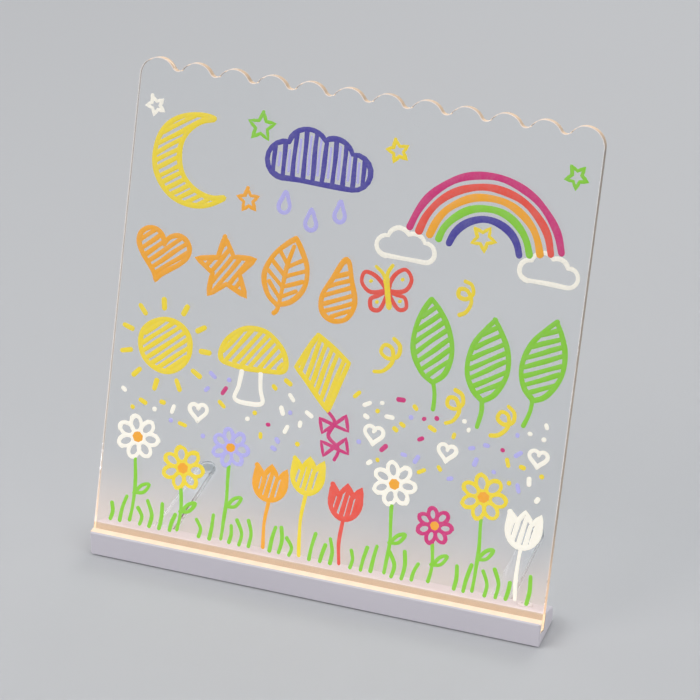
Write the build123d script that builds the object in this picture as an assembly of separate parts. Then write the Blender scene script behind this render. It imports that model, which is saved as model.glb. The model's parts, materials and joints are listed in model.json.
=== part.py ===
from build123d import *
import math
import os

# LED writing board. A clear acrylic panel with a scalloped top edge leans back in a slim light
# base, and two clear legs swing out from under the base to hold it up.
# Lengths are in millimetres. +X is the viewer's right, +Y the back and +Z up.
# The origin is on the table, in the middle of the footprint.

# Panel
panel_width = 250.0
panel_rise = 256.0  # from the base's top to the crests, along the panel
panel_thickness = 5.0
panel_seat_depth = 6.0  # how deep the panel stands in its slot
panel_edge_break = 0.3  # polished edge
panel_lean = 20.0  # degrees back from upright
scallop_count = 12
scallop_depth = 5.7  # from crest to trough
scallop_trough_radius = 3.0

# Light diffuser, a frosted channel that lines the slot and shows as a strip in front of the panel
diffuser_wall = 0.9
diffuser_floor = 0.8
diffuser_flange = 1.0
panel_play = 0.1  # between the panel and the diffuser
diffuser_fit = 0.05  # between the diffuser and the shell

# Base shell
shell_wall = 1.4
rim_thickness = 1.0  # front rim, which hides the strip's edge
rim_radius = 0.8
end_wall = 3.0
shell_edge_break = 0.5
ridge_radius = 1.2
rear_face_height = 5.1  # above the recess that the legs fold into

# Bottom cover
cover_thickness = 1.4
cover_fit = 0.15
tray_gap = 0.6  # between the legs' recess and the back of the slot
tray_end_gap = 4.0  # between the legs' recess and the boards in the base's ends
board_rib_height = 1.6
board_rib_thickness = 1.2
board_rib_count = 6

# Cover screws
cover_screw_count = 4
cover_screw_inset = 20.0  # from a leg's pivot to the nearest screw
cover_screw_diameter = 2.4
cover_screw_length = 5.6
cover_screw_head_diameter = 4.6
cover_screw_head_height = 1.1
screw_play = 0.05
screw_recess_width = 0.5
screw_recess_length = 2.4
screw_recess_depth = 0.6
screw_boss_diameter = 5.4

# Rubber feet under the front of the base
foot_height = 1.0
foot_length = 60.0
foot_width = 6.0
foot_inset = 50.0  # from the base's end to a foot's middle

# Swing-out legs
leg_fold_gap = 26.0  # between the tips of the folded legs
leg_width = 12.0
leg_tip_width = 9.0
leg_thickness = 3.2
leg_edge_break = 0.5
leg_gap = 0.3  # between a leg and the recess above it
leg_side_gap = 0.6
leg_rear_cover = 0.8  # how far the base hides a folded leg
leg_pad_thickness = 1.2
leg_pad_diameter = 7.0

# Leg pivots, a shoulder screw and a friction washer each
pivot_diameter = 4.0
pivot_play = 0.08
pivot_head_diameter = 7.0
pivot_head_height = 1.3
pivot_head_recess = 1.6
pivot_head_side_gap = 0.3
pivot_slot_width = 1.0
pivot_slot_depth = 0.6
pivot_thread_diameter = 3.0
pivot_thread_length = 3.2
pivot_boss_diameter = 6.6
pivot_boss_height = 2.6
washer_diameter = 8.0
washer_gap = 0.05

# Light strip
board_thickness = 1.0
led_board_width = 6.0
led_board_end_gap = 2.0
led_count = 24
led_length = 3.5
led_width = 2.8
led_height = 0.8
led_gap = 0.3  # between the lamps and the diffuser
resistor_count = 8
resistor_length = 1.6
resistor_width = 0.8
resistor_height = 0.5

# Supply board and its socket, in the left end of the base
usb_board_length = 14.0
usb_board_width = 10.0
usb_board_lift = 1.0
usb_board_end_gap = 0.3
usb_width = 8.94
usb_height = 3.26
usb_length = 7.3
usb_wall = 0.3
usb_corner_radius = 1.3
usb_side_gap = 0.82  # between the slot's back wall and the socket's top
usb_setback = 0.4  # of the socket's mouth behind the end face
usb_opening_gap = 0.3
usb_tongue_width = 6.65
usb_tongue_thickness = 0.7
usb_tongue_length = 4.6
usb_core_fit = 0.05
chip_length = 4.9
chip_width = 3.9
chip_height = 1.5

# Push button on the rear slope, near the right end
button_inset = 10.0  # from the inside of the end wall to the button's centre
button_diameter = 8.0
button_height = 1.0  # above the slope
button_edge_break = 0.4
button_play = 0.15
button_flange_diameter = 9.6
button_flange_thickness = 0.8
button_stem_diameter = 4.0
button_stem_length = 0.8
button_rest_gap = 0.05
plunger_diameter = 3.4
plunger_play = 0.05
plunger_out = 1.0
plunger_in = 0.8
switch_size = 6.0
switch_height = 3.0
switch_well_depth = 1.9
button_board_length = 10.0
button_board_width = 8.0
button_rest_spacing = 6.0

# Wires between the boards
wire_diameter = 0.9
wire_spacing = 2.4
wire_end_gap = 0.06
wire_overlap = 2.0  # of a wire on the supply board

overrun = 2.0  # of a cutting shape past the face that it cuts

# Lean of the panel
lean_sin = math.sin(math.radians(panel_lean))
lean_cos = math.cos(math.radians(panel_lean))

# Pocket for the diffuser, measured in front of the panel's front face and along the panel
pocket_front = panel_play + diffuser_wall + diffuser_fit
pocket_back = -(panel_thickness + pocket_front)
pocket_depth = panel_seat_depth + panel_play + diffuser_floor

# Heights
base_bottom = foot_height
cover_top = base_bottom + cover_thickness
recess_top = leg_pad_thickness + leg_thickness + leg_gap
tray_top = recess_top + cover_thickness
led_board_bottom = cover_top + board_rib_height
led_board_top = led_board_bottom + board_thickness
pocket_low = led_board_top + led_height + led_gap
base_top = pocket_low + pocket_depth * lean_cos - pocket_back * lean_sin
rear_top = recess_top + rear_face_height

# Widths
base_width = panel_width
chamber_half = base_width / 2 - end_wall
button_x = chamber_half - button_inset
end_zone = max(usb_board_end_gap + usb_board_length, button_inset + button_board_length / 2)
recess_half = chamber_half - end_zone - tray_end_gap - cover_thickness
pivot_x = recess_half - leg_side_gap - leg_width / 2
leg_reach = pivot_x - leg_fold_gap / 2
foot_spacing = base_width - 2 * foot_inset
cover_screw_span = 2 * (pivot_x - cover_screw_inset)

# Depths, counted back from the front face
panel_setback = shell_wall + pocket_depth * lean_sin + pocket_front * lean_cos
rib_setback = panel_setback - pocket_depth * lean_sin + (shell_wall - pocket_back) * lean_cos
recess_setback = rib_setback + tray_gap + cover_thickness
pivot_setback = recess_setback + leg_side_gap + leg_width / 2
base_depth = pivot_setback + leg_width / 2 + leg_rear_cover
panel_top_setback = panel_setback + panel_rise * lean_sin + panel_thickness * lean_cos
footprint_depth = max(pivot_setback + leg_reach, panel_top_setback)

# Places along Y
front_y = -footprint_depth / 2
panel_y = front_y + panel_setback
ridge_y = panel_y + (shell_wall - pocket_back) / lean_cos
recess_y = front_y + recess_setback
pivot_y = front_y + pivot_setback
rear_y = front_y + base_depth
chamber_front_y = front_y + shell_wall
chamber_rear_y = rear_y - shell_wall

# Slope behind the slot, with its outward direction
slope_run = rear_y - ridge_y
slope_fall = base_top - rear_top
slope_length = math.hypot(slope_run, slope_fall)
slope_out_y = slope_fall / slope_length
slope_out_z = slope_run / slope_length

panel_plane = Plane(
    origin=(0, panel_y, base_top), x_dir=(1, 0, 0), z_dir=(0, -lean_cos, lean_sin)
)
button_plane = Plane(
    origin=(button_x, (ridge_y + rear_y) / 2, (base_top + rear_top) / 2),
    x_dir=(1, 0, 0),
    z_dir=(0, slope_out_y, slope_out_z),
)


def in_slot(up, front):
    """Place in the base's section, up along the panel and in front of its front face."""
    y = panel_y + up * lean_sin - front * lean_cos
    z = base_top + up * lean_cos + front * lean_sin
    return (y, z)


def on_top(front, drop=0.0):
    """Place at the base's top, or that far under it, on the line in front of the panel."""
    up = (-drop - front * lean_sin) / lean_cos
    return in_slot(up, front)


def meet(a, b, c, d):
    """Where the line through a and b crosses the line through c and d."""
    ab = (b[0] - a[0], b[1] - a[1])
    cd = (d[0] - c[0], d[1] - c[1])
    share = ((c[0] - a[0]) * cd[1] - (c[1] - a[1]) * cd[0]) / (ab[0] * cd[1] - ab[1] * cd[0])
    return (a[0] + share * ab[0], a[1] + share * ab[1])


def bar(points, length):
    """Solid with this outline in Y and Z, along X and centred."""
    outline = Plane.YZ * Polyline(*points, close=True)
    return extrude(make_face(outline), amount=length / 2, both=True)


def block(x_span, y_span, z_span):
    """Box between two places on each axis."""
    spans = (x_span, y_span, z_span)
    middle = [(low + high) / 2 for low, high in spans]
    return Pos(*middle) * Box(*[high - low for low, high in spans])


def pin(x, y, z_span, diameter):
    """Upright cylinder between two heights."""
    low, high = z_span
    return Pos(x, y, (low + high) / 2) * Cylinder(diameter / 2, high - low)


def stub(plane, low, high, diameter):
    """Cylinder square to a plane, between two distances along its direction."""
    return plane * Pos(0, 0, (low + high) / 2) * Cylinder(diameter / 2, high - low)


def long_edges(part, *spots):
    """Edges along X whose place in Y and Z is one of the spots."""
    near = panel_edge_break
    found = part.edges().filter_by(Axis.X)
    return [
        e
        for e in found
        if any(math.dist((e.center().Y, e.center().Z), spot) < near for spot in spots)
    ]


def spread(count, span):
    """Evenly spaced places over a span, centred on zero."""
    return [span * (k / (count - 1) - 1 / 2) for k in range(count)]


def scallop_edge():
    """Top edge of the panel from its right side to its left: crests and troughs of tangent arcs."""
    half_pitch = panel_width / scallop_count / 2
    reach = (scallop_depth**2 + half_pitch**2) / (2 * scallop_depth)
    crest_radius = reach - scallop_trough_radius
    crest_low = panel_rise - crest_radius
    sine, cosine = half_pitch / reach, (reach - scallop_depth) / reach
    half_sine = math.sin(math.asin(sine) / 2)
    half_cosine = math.cos(math.asin(sine) / 2)
    corner_share = 1 - math.sqrt(1 / 2)
    side_top = panel_rise - half_pitch

    def touch(crest, side):
        return (crest + side * crest_radius * sine, crest_low + crest_radius * cosine)

    def half_crest(crest, side):
        return (crest + side * crest_radius * half_sine, crest_low + crest_radius * half_cosine)

    def corner(side):
        x = side * (panel_width / 2 - half_pitch * corner_share)
        return (x, panel_rise - half_pitch * corner_share)

    crests = spread(scallop_count, panel_width - 2 * half_pitch)[::-1]
    first, last = crests[0], crests[-1]
    edges = [
        ThreePointArc((panel_width / 2, side_top), corner(1), (first, panel_rise)),
        ThreePointArc((first, panel_rise), half_crest(first, -1), touch(first, -1)),
    ]
    for right, left in zip(crests, crests[1:]):
        trough = ((right + left) / 2, panel_rise - scallop_depth)
        edges.append(ThreePointArc(touch(right, -1), trough, touch(left, 1)))
        if left != last:
            edges.append(ThreePointArc(touch(left, 1), (left, panel_rise), touch(left, -1)))
    edges.append(ThreePointArc(touch(last, 1), half_crest(last, 1), (last, panel_rise)))
    edges.append(ThreePointArc((last, panel_rise), corner(-1), (-panel_width / 2, side_top)))
    return edges, side_top


def acrylic_panel():
    """Clear sheet with a scalloped top, square at the bottom where it stands in the slot."""
    edges, side_top = scallop_edge()
    left, right = -panel_width / 2, panel_width / 2
    low = -panel_seat_depth
    sides = Polyline((left, side_top), (left, low), (right, low), (right, side_top))
    face = make_face(Curve() + edges + sides)
    sheet = extrude(face, amount=-panel_thickness)
    flats = sheet.faces().filter_by(Axis.Z)
    sheet = chamfer(flats.edges(), panel_edge_break)
    return panel_plane * sheet


def light_diffuser():
    """Channel round the panel's foot, with a lip that runs forward to the rim."""
    inside, outside = panel_play, panel_play + diffuser_wall
    floor = panel_seat_depth + panel_play
    lip_y = front_y + rim_thickness + diffuser_fit
    outline = [
        (lip_y, base_top - diffuser_flange),
        (lip_y, base_top),
        on_top(inside),
        in_slot(-floor, inside),
        in_slot(-floor, -panel_thickness - inside),
        on_top(-panel_thickness - inside),
        on_top(-panel_thickness - outside),
        in_slot(-floor - diffuser_floor, -panel_thickness - outside),
        in_slot(-floor - diffuser_floor, outside),
        on_top(outside, diffuser_flange),
    ]
    return bar(outline, base_width)


def shell_chamber():
    """Space inside the shell, open at the bottom."""
    rib_foot = in_slot(-pocket_depth, pocket_back - shell_wall)
    slope_start = (ridge_y - shell_wall * slope_out_y, base_top - shell_wall * slope_out_z)
    slope_end = (rear_y - shell_wall * slope_out_y, rear_top - shell_wall * slope_out_z)
    rib_line = (rib_foot, on_top(pocket_back - shell_wall))
    rear_line = ((chamber_rear_y, base_bottom), (chamber_rear_y, base_top))
    floor = base_bottom - overrun
    outline = [
        (chamber_front_y, floor),
        in_slot(-pocket_depth, pocket_front),
        in_slot(-pocket_depth, pocket_back),
        rib_foot,
        meet(*rib_line, slope_start, slope_end),
        meet(*rear_line, slope_start, slope_end),
        (chamber_rear_y, floor),
    ]
    return bar(outline, 2 * chamber_half)


def base_shell():
    """White moulded housing: front, slot, rear slope and ends, open underneath."""
    outline = [
        (front_y, base_bottom),
        (front_y, base_top),
        (ridge_y, base_top),
        (rear_y, rear_top),
        (rear_y, base_bottom),
    ]
    outer = bar(outline, base_width)
    outer = fillet(long_edges(outer, (ridge_y, base_top), (rear_y, rear_top)), ridge_radius)
    outer = fillet(long_edges(outer, (front_y, base_top)), rim_radius)
    ends = outer.faces().sort_by(Axis.X)
    outer = chamfer(ends[0].edges() + ends[-1].edges(), shell_edge_break)
    shell = outer - shell_chamber()
    for x in spread(cover_screw_count, cover_screw_span):
        shell += outer & pin(x, pivot_y, (tray_top, base_top), screw_boss_diameter)
        hole = (tray_top - overrun, tray_top + cover_screw_length - cover_thickness)
        shell -= pin(x, pivot_y, hole, cover_screw_diameter + 2 * screw_play)
    slot = [
        in_slot(-pocket_depth, pocket_front),
        in_slot(-pocket_depth, pocket_back),
        on_top(pocket_back, -overrun),
        on_top(pocket_front, -overrun),
    ]
    shell -= bar(slot, base_width + 2 * overrun)
    lip = [
        (front_y + rim_thickness, base_top - diffuser_flange),
        on_top(0, diffuser_flange),
        on_top(0, -overrun),
        (front_y + rim_thickness, base_top + overrun),
    ]
    shell -= bar(lip, base_width + 2 * overrun)
    leg_window = block(
        (-recess_half, recess_half),
        (chamber_rear_y - overrun, rear_y + overrun),
        (base_bottom - overrun, recess_top),
    )
    shell -= leg_window
    shell -= usb_opening()
    shell -= stub(button_plane, -shell_wall - overrun, overrun, button_diameter + 2 * button_play)
    return shell


def cover_blank():
    """Cover plate with a raised tray that the legs fold into."""
    rear = chamber_rear_y - cover_fit
    half = chamber_half - cover_fit
    plate = block((-half, half), (chamber_front_y + cover_fit, rear), (base_bottom, cover_top))
    tray_half = recess_half + cover_thickness
    tray = block((-tray_half, tray_half), (recess_y - cover_thickness, rear), (base_bottom, tray_top))
    recess = block(
        (-recess_half, recess_half),
        (recess_y, rear + overrun),
        (base_bottom - overrun, recess_top),
    )
    return plate + tray - recess


def bottom_cover():
    """Cover with pivot bosses, screw holes, ribs and rests for the three boards."""
    cover = cover_blank()
    for x in (-pivot_x, pivot_x):
        cover += pin(x, pivot_y, (tray_top, tray_top + pivot_boss_height), pivot_boss_diameter)
        bore = (recess_top - overrun, recess_top + pivot_thread_length)
        cover -= pin(x, pivot_y, bore, pivot_thread_diameter + 2 * screw_play)
    for x in spread(cover_screw_count, cover_screw_span):
        sink = Cone(
            cover_screw_head_diameter / 2 + screw_play,
            cover_screw_diameter / 2 + screw_play,
            cover_screw_head_height,
        )
        cover -= Pos(x, pivot_y, recess_top + cover_screw_head_height / 2) * sink
        hole = (recess_top - overrun, tray_top + overrun)
        cover -= pin(x, pivot_y, hole, cover_screw_diameter + 2 * screw_play)
    rib_half = board_rib_thickness / 2
    for x in spread(board_rib_count, led_board_length - 2 * board_rib_thickness):
        y_span = (led_board_y - led_board_width / 2, led_board_y + led_board_width / 2)
        cover += block((x - rib_half, x + rib_half), y_span, (cover_top, led_board_bottom))
    for y in (usb_y - usb_board_width / 4, usb_y + usb_board_width / 4):
        x_span = (usb_board_x - usb_board_length / 2, usb_board_x + usb_board_length / 2)
        cover += block(x_span, (y - rib_half, y + rib_half), (cover_top, usb_board_bottom))
    for x in (-button_rest_spacing / 2, button_rest_spacing / 2):
        cover += Pos(button_x + x, 0, 0) * bar(button_rest_outline(), board_rib_thickness)
    return cover


def rubber_feet():
    """Two strips under the front of the cover."""
    y = (chamber_front_y + recess_y - cover_thickness) / 2
    strip = extrude(SlotOverall(foot_length, foot_width), amount=foot_height)
    return [Pos(x, y, 0) * strip for x in spread(2, foot_spacing)]


def cover_screws():
    """Countersunk screws that hold the cover to the shell."""
    head = Cone(cover_screw_head_diameter / 2, cover_screw_diameter / 2, cover_screw_head_height)
    shank = Cylinder(cover_screw_diameter / 2, cover_screw_length - cover_screw_head_height)
    screw = Pos(0, 0, cover_screw_head_height / 2) * head
    screw += Pos(0, 0, (cover_screw_head_height + cover_screw_length) / 2) * shank
    slot = Box(screw_recess_length, screw_recess_width, 2 * screw_recess_depth)
    screw -= slot + Rot(0, 0, 90) * slot
    places = spread(cover_screw_count, cover_screw_span)
    return [Pos(x, pivot_y, recess_top) * screw for x in places]


def leg_outline():
    """Flat outline of a leg, from its eye at the pivot to its narrower tip."""
    eye = Circle(leg_width / 2)
    tip = Pos(0, leg_reach - leg_tip_width / 2) * Circle(leg_tip_width / 2)
    return make_hull(eye.edges() + tip.edges())


def leg():
    """Clear leg at the origin: eye at the pivot, tip to the back, its underside at zero."""
    arm = extrude(leg_outline(), amount=leg_thickness)
    arm = chamfer(arm.faces().sort_by(Axis.Z)[-1].edges(), leg_edge_break)
    arm -= pin(0, 0, (-overrun, leg_thickness + overrun), pivot_diameter + 2 * pivot_play)
    recess = pivot_head_diameter + 2 * pivot_head_side_gap
    return arm - pin(0, 0, (-overrun, pivot_head_recess), recess)


def leg_pad():
    """Rubber disc under a leg's tip."""
    disc = extrude(Circle(leg_pad_diameter / 2), amount=leg_pad_thickness)
    return Pos(0, leg_reach - leg_tip_width / 2, -leg_pad_thickness) * disc


def at_pivot(side, piece):
    """Puts a piece made at the origin on the left pivot, side -1, or the right one, side 1."""
    return Pos(side * pivot_x, pivot_y, leg_pad_thickness) * piece


def pivot_screws():
    """Shoulder screws that the legs turn on."""
    head_top = pivot_head_recess - washer_gap
    shoulder_top = leg_thickness + leg_gap
    screw = pin(0, 0, (head_top - pivot_head_height, head_top), pivot_head_diameter)
    screw += pin(0, 0, (head_top, shoulder_top), pivot_diameter)
    screw += pin(0, 0, (shoulder_top, shoulder_top + pivot_thread_length), pivot_thread_diameter)
    slot = Box(pivot_head_diameter + overrun, pivot_slot_width, 2 * pivot_slot_depth)
    screw -= Pos(0, 0, head_top - pivot_head_height) * slot
    return [at_pivot(side, screw) for side in (-1, 1)]


def pivot_washers():
    """Friction washers between the legs and the cover."""
    low, high = leg_thickness + washer_gap, leg_thickness + leg_gap
    disc = pin(0, 0, (low, high), washer_diameter)
    disc -= pin(0, 0, (low - overrun, high + overrun), pivot_diameter + 2 * pivot_play)
    return [at_pivot(side, disc) for side in (-1, 1)]


led_board_length = 2 * (chamber_half - led_board_end_gap)
slot_floor_middle = in_slot(-panel_seat_depth, -panel_thickness / 2)
led_board_y = max(slot_floor_middle[0], chamber_front_y + led_board_width / 2 + cover_fit)


def led_board():
    """Narrow circuit board under the panel's foot."""
    half = led_board_length / 2
    y_span = (led_board_y - led_board_width / 2, led_board_y + led_board_width / 2)
    return block((-half, half), y_span, (led_board_bottom, led_board_top))


led_spacing = led_board_length / led_count
led_places = spread(led_count, led_board_length - led_spacing)


def led_chips():
    """Row of lamps that shine up into the panel."""
    lamp = Box(led_length, led_width, led_height)
    z = led_board_top + led_height / 2
    return [Pos(x, led_board_y, z) * lamp for x in led_places]


def led_resistors():
    """Small resistors between pairs of lamps."""
    chip = Box(resistor_length, resistor_width, resistor_height)
    z = led_board_top + resistor_height / 2
    step = led_count // resistor_count
    places = [x + led_spacing / 2 for x in led_places[::step]]
    return [Pos(x, led_board_y, z) * chip for x in places]


usb_board_x = -chamber_half + usb_board_end_gap + usb_board_length / 2
usb_board_bottom = cover_top + usb_board_lift
usb_board_top = usb_board_bottom + board_thickness
usb_top = usb_board_top + usb_height
slot_wall = (in_slot(-pocket_depth, pocket_back - shell_wall), on_top(pocket_back - shell_wall))
slot_wall_y = meet(*slot_wall, (front_y, usb_top), (rear_y, usb_top))[0]
usb_y = slot_wall_y + usb_side_gap + usb_width / 2
usb_z = usb_board_top + usb_height / 2
usb_mouth_x = -base_width / 2 + usb_setback


def usb_board():
    """Supply board that lies on two ribs of the cover."""
    half = usb_board_length / 2
    y_span = (usb_y - usb_board_width / 2, usb_y + usb_board_width / 2)
    return block((usb_board_x - half, usb_board_x + half), y_span, (usb_board_bottom, usb_board_top))


def usb_prism(x_span, inset):
    """Solid with the socket's rounded section, drawn in by inset, between two places along X."""
    plane = Plane(origin=(x_span[0], usb_y, usb_z), x_dir=(0, 1, 0), z_dir=(1, 0, 0))
    width, height = usb_width - 2 * inset, usb_height - 2 * inset
    section = RectangleRounded(width, height, usb_corner_radius - inset)
    return extrude(plane * section, amount=x_span[1] - x_span[0])


def usb_opening():
    """Hole in the left end for the socket."""
    x_span = (-base_width / 2 - overrun, -chamber_half + overrun)
    return usb_prism(x_span, -usb_opening_gap)


def usb_socket_shell():
    """Steel sleeve of the socket."""
    x_span = (usb_mouth_x, usb_mouth_x + usb_length)
    bore = (usb_mouth_x - overrun, usb_mouth_x + usb_length + overrun)
    return usb_prism(x_span, 0) - usb_prism(bore, usb_wall)


def usb_socket_tongue():
    """Plastic core of the socket, with the tongue that carries its contacts."""
    back = usb_mouth_x + usb_length
    core_front = usb_mouth_x + usb_wall + usb_tongue_length
    core = usb_prism((core_front, back), usb_wall + usb_core_fit)
    half_width, half_thickness = usb_tongue_width / 2, usb_tongue_thickness / 2
    tongue = block(
        (core_front - usb_tongue_length, back),
        (usb_y - half_width, usb_y + half_width),
        (usb_z - half_thickness, usb_z + half_thickness),
    )
    return core + tongue


def driver_chip():
    """Lamp driver on the supply board, behind the socket."""
    free_start = usb_mouth_x + usb_length
    free_end = usb_board_x + usb_board_length / 2
    place = ((free_start + free_end) / 2, usb_y, usb_board_top + chip_height / 2)
    return Pos(*place) * Box(chip_length, chip_width, chip_height)


# Depths under the outside of the slope, along the button's axis
button_flange_top = -shell_wall - button_rest_gap
button_stem_top = button_flange_top - button_flange_thickness
plunger_top = button_stem_top - button_stem_length
switch_top = plunger_top - plunger_out
button_board_top = switch_top - switch_height
button_board_low = button_board_top - board_thickness


def button_cap():
    """Round cap with a flange that keeps it in the shell and a stem on the switch."""
    cap = stub(button_plane, button_flange_top, button_height, button_diameter)
    cap = chamfer(cap.faces().sort_by(Axis.Z)[-1].edges(), button_edge_break)
    cap += stub(button_plane, button_stem_top, button_flange_top, button_flange_diameter)
    return cap + stub(button_plane, plunger_top, button_stem_top, button_stem_diameter)


def switch_plunger():
    """Plunger of the switch, which the cap pushes."""
    return stub(button_plane, switch_top - plunger_in, plunger_top, plunger_diameter)


def switch_body():
    """Tactile switch with the well that its plunger moves in."""
    middle = (button_board_top + switch_top) / 2
    body = button_plane * Pos(0, 0, middle) * Box(switch_size, switch_size, switch_height)
    well = plunger_diameter + 2 * plunger_play
    return body - stub(button_plane, switch_top - switch_well_depth, switch_top + overrun, well)


def button_board():
    """Board that carries the switch, parallel to the slope."""
    middle = button_board_top - board_thickness / 2
    plate = Box(button_board_length, button_board_width, board_thickness)
    return button_plane * Pos(0, 0, middle) * plate


def under_slope(along, out):
    """Place in the section, down the slope from the button's axis and out along it."""
    y = button_plane.origin.Y + along * slope_out_z + out * slope_out_y
    z = button_plane.origin.Z - along * slope_out_y + out * slope_out_z
    return (y, z)


def button_rest_outline():
    """Rib of the cover that the button's board lies on."""
    upper = under_slope(-button_board_width / 2, button_board_low)
    lower = under_slope(button_board_width / 2, button_board_low)
    return [(upper[0], cover_top), upper, lower, (lower[0], cover_top)]


def wires(x_middle, y_end):
    """Two straight wires from the light strip's back edge to a board behind it."""
    z = usb_board_top + wire_diameter / 2
    start = led_board_y + led_board_width / 2 + wire_end_gap
    plane = Plane(origin=(0, start, z), x_dir=(1, 0, 0), z_dir=(0, 1, 0))
    wire = extrude(plane * Circle(wire_diameter / 2), amount=y_end - start)
    return [Pos(x_middle + x, 0, 0) * wire for x in spread(2, wire_spacing)]


def supply_wires():
    """Wires from the supply board, which end on its pads."""
    return wires(usb_board_x + usb_board_length / 4, usb_y - usb_board_width / 2 + wire_overlap)


def switch_wires():
    """Wires to the underside of the button's board."""
    top = usb_board_top + wire_diameter
    upper = under_slope(-button_board_width / 2, button_board_low)
    lower = under_slope(button_board_width / 2, button_board_low)
    reach = meet(upper, lower, (front_y, top), (rear_y, top))[0]
    return wires(button_x, reach - wire_end_gap)


nodes = {
    "acrylic_panel": acrylic_panel(),
    "light_diffuser": light_diffuser(),
    "base_shell": base_shell(),
    "bottom_cover": bottom_cover(),
    "rubber_feet": rubber_feet(),
    "cover_screws": cover_screws(),
    "left_leg": at_pivot(-1, leg()),
    "right_leg": at_pivot(1, leg()),
    "left_leg_pad": at_pivot(-1, leg_pad()),
    "right_leg_pad": at_pivot(1, leg_pad()),
    "pivot_screws": pivot_screws(),
    "pivot_washers": pivot_washers(),
    "led_board": led_board(),
    "led_chips": led_chips(),
    "led_resistors": led_resistors(),
    "usb_board": usb_board(),
    "usb_socket_shell": usb_socket_shell(),
    "usb_socket_tongue": usb_socket_tongue(),
    "driver_chip": driver_chip(),
    "button_cap": button_cap(),
    "switch_plunger": switch_plunger(),
    "switch_body": switch_body(),
    "button_board": button_board(),
    "supply_wires": supply_wires(),
    "switch_wires": switch_wires(),
}

os.makedirs("parts", exist_ok=True)
for name, shape in nodes.items():
    if isinstance(shape, list):
        shape = Compound(children=shape)
    export_step(shape, f"parts/{name}.step")
print("base", round(base_depth, 2), "deep,", round(base_top, 2), "high; footprint", footprint_depth)
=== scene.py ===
"""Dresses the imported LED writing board: finishes, marker drawings, small parts and a plain studio."""
import json
import logging
import math
import random
from bisect import bisect_right
from dataclasses import dataclass, field, replace
from enum import Enum
from typing import Callable, Iterable, Sequence

import bpy
from mathutils import Matrix, Vector


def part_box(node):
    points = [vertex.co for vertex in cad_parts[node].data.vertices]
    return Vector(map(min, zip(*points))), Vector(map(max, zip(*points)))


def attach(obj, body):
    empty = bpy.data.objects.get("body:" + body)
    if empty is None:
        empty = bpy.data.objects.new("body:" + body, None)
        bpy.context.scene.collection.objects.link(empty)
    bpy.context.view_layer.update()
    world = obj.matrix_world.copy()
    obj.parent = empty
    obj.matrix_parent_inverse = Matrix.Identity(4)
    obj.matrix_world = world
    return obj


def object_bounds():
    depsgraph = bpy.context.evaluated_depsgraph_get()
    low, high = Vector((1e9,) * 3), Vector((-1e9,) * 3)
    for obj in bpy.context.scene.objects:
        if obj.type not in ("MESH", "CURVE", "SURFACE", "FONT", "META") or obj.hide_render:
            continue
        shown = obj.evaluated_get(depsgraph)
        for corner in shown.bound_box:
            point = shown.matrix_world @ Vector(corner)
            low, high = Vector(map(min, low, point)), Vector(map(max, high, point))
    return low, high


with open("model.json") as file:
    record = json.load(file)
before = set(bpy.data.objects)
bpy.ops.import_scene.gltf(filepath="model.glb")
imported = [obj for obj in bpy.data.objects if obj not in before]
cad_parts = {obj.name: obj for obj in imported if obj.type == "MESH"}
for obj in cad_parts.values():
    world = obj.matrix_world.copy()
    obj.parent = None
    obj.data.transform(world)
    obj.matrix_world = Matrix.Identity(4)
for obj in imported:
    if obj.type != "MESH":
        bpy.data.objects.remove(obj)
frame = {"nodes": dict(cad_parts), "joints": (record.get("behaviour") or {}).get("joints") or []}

CAD_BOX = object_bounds()
MM = 0.001
NOISE_LOW, NOISE_HIGH = 0.3, 0.7  # Nearly all of a noise node's values lie between these two.
MIX_INPUTS, MIX_RESULT = (0, 6, 7), 2  # A Mix node's sockets for colours: factor, first, second; result.
FACES_UP = 0.9  # A direction's least share along an axis for a face that counts as facing that way.
SMOOTH_CREASE = math.radians(40)
STROKE_CREASE = math.radians(60)
OUTLINE_WIDTH, HATCH_WIDTH = 2.8, 2.5  # The pen round a chunky shape and across it, in millimetres.
TINY = 1e-6  # Keeps a division from meeting zero.
SUN_PLACE = (-95, 106)  # On the panel, in millimetres from its middle and over the base.

log = logging.getLogger("writing_board")

Socket = bpy.types.NodeSocket
Shader = bpy.types.Node
Material = bpy.types.Material
Piece = bpy.types.Object
Triple = tuple[float, float, float]
Colour = Triple
Circle = Triple
Point = tuple[float, float]
Points = Sequence[Point]


class Body(Enum):
    """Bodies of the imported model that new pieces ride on."""

    BASE = "base"
    PANEL = "panel"
    BUTTON = "button"


class Ink(Enum):
    """Colours of the marker pens."""

    MAGENTA = (0.56, 0.025, 0.17)
    CORAL = (0.74, 0.075, 0.05)
    AMBER = (0.83, 0.36, 0.02)
    YELLOW = (0.80, 0.62, 0.03)
    LIME = (0.22, 0.56, 0.03)
    VIOLET = (0.055, 0.045, 0.30)
    LILAC = (0.42, 0.40, 0.76)
    CREAM = (0.90, 0.86, 0.76)


class Shaded(Enum):
    """What a node tree shades."""

    MATERIAL = "Material"
    WORLD = "World"


@dataclass(frozen=True)
class Grain:
    """Soft random spots: their size in millimetres, their finer layers, and the scale on each axis."""

    size: float
    detail: float = 3.0
    stretch: Triple = (1.0, 1.0, 1.0)


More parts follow.
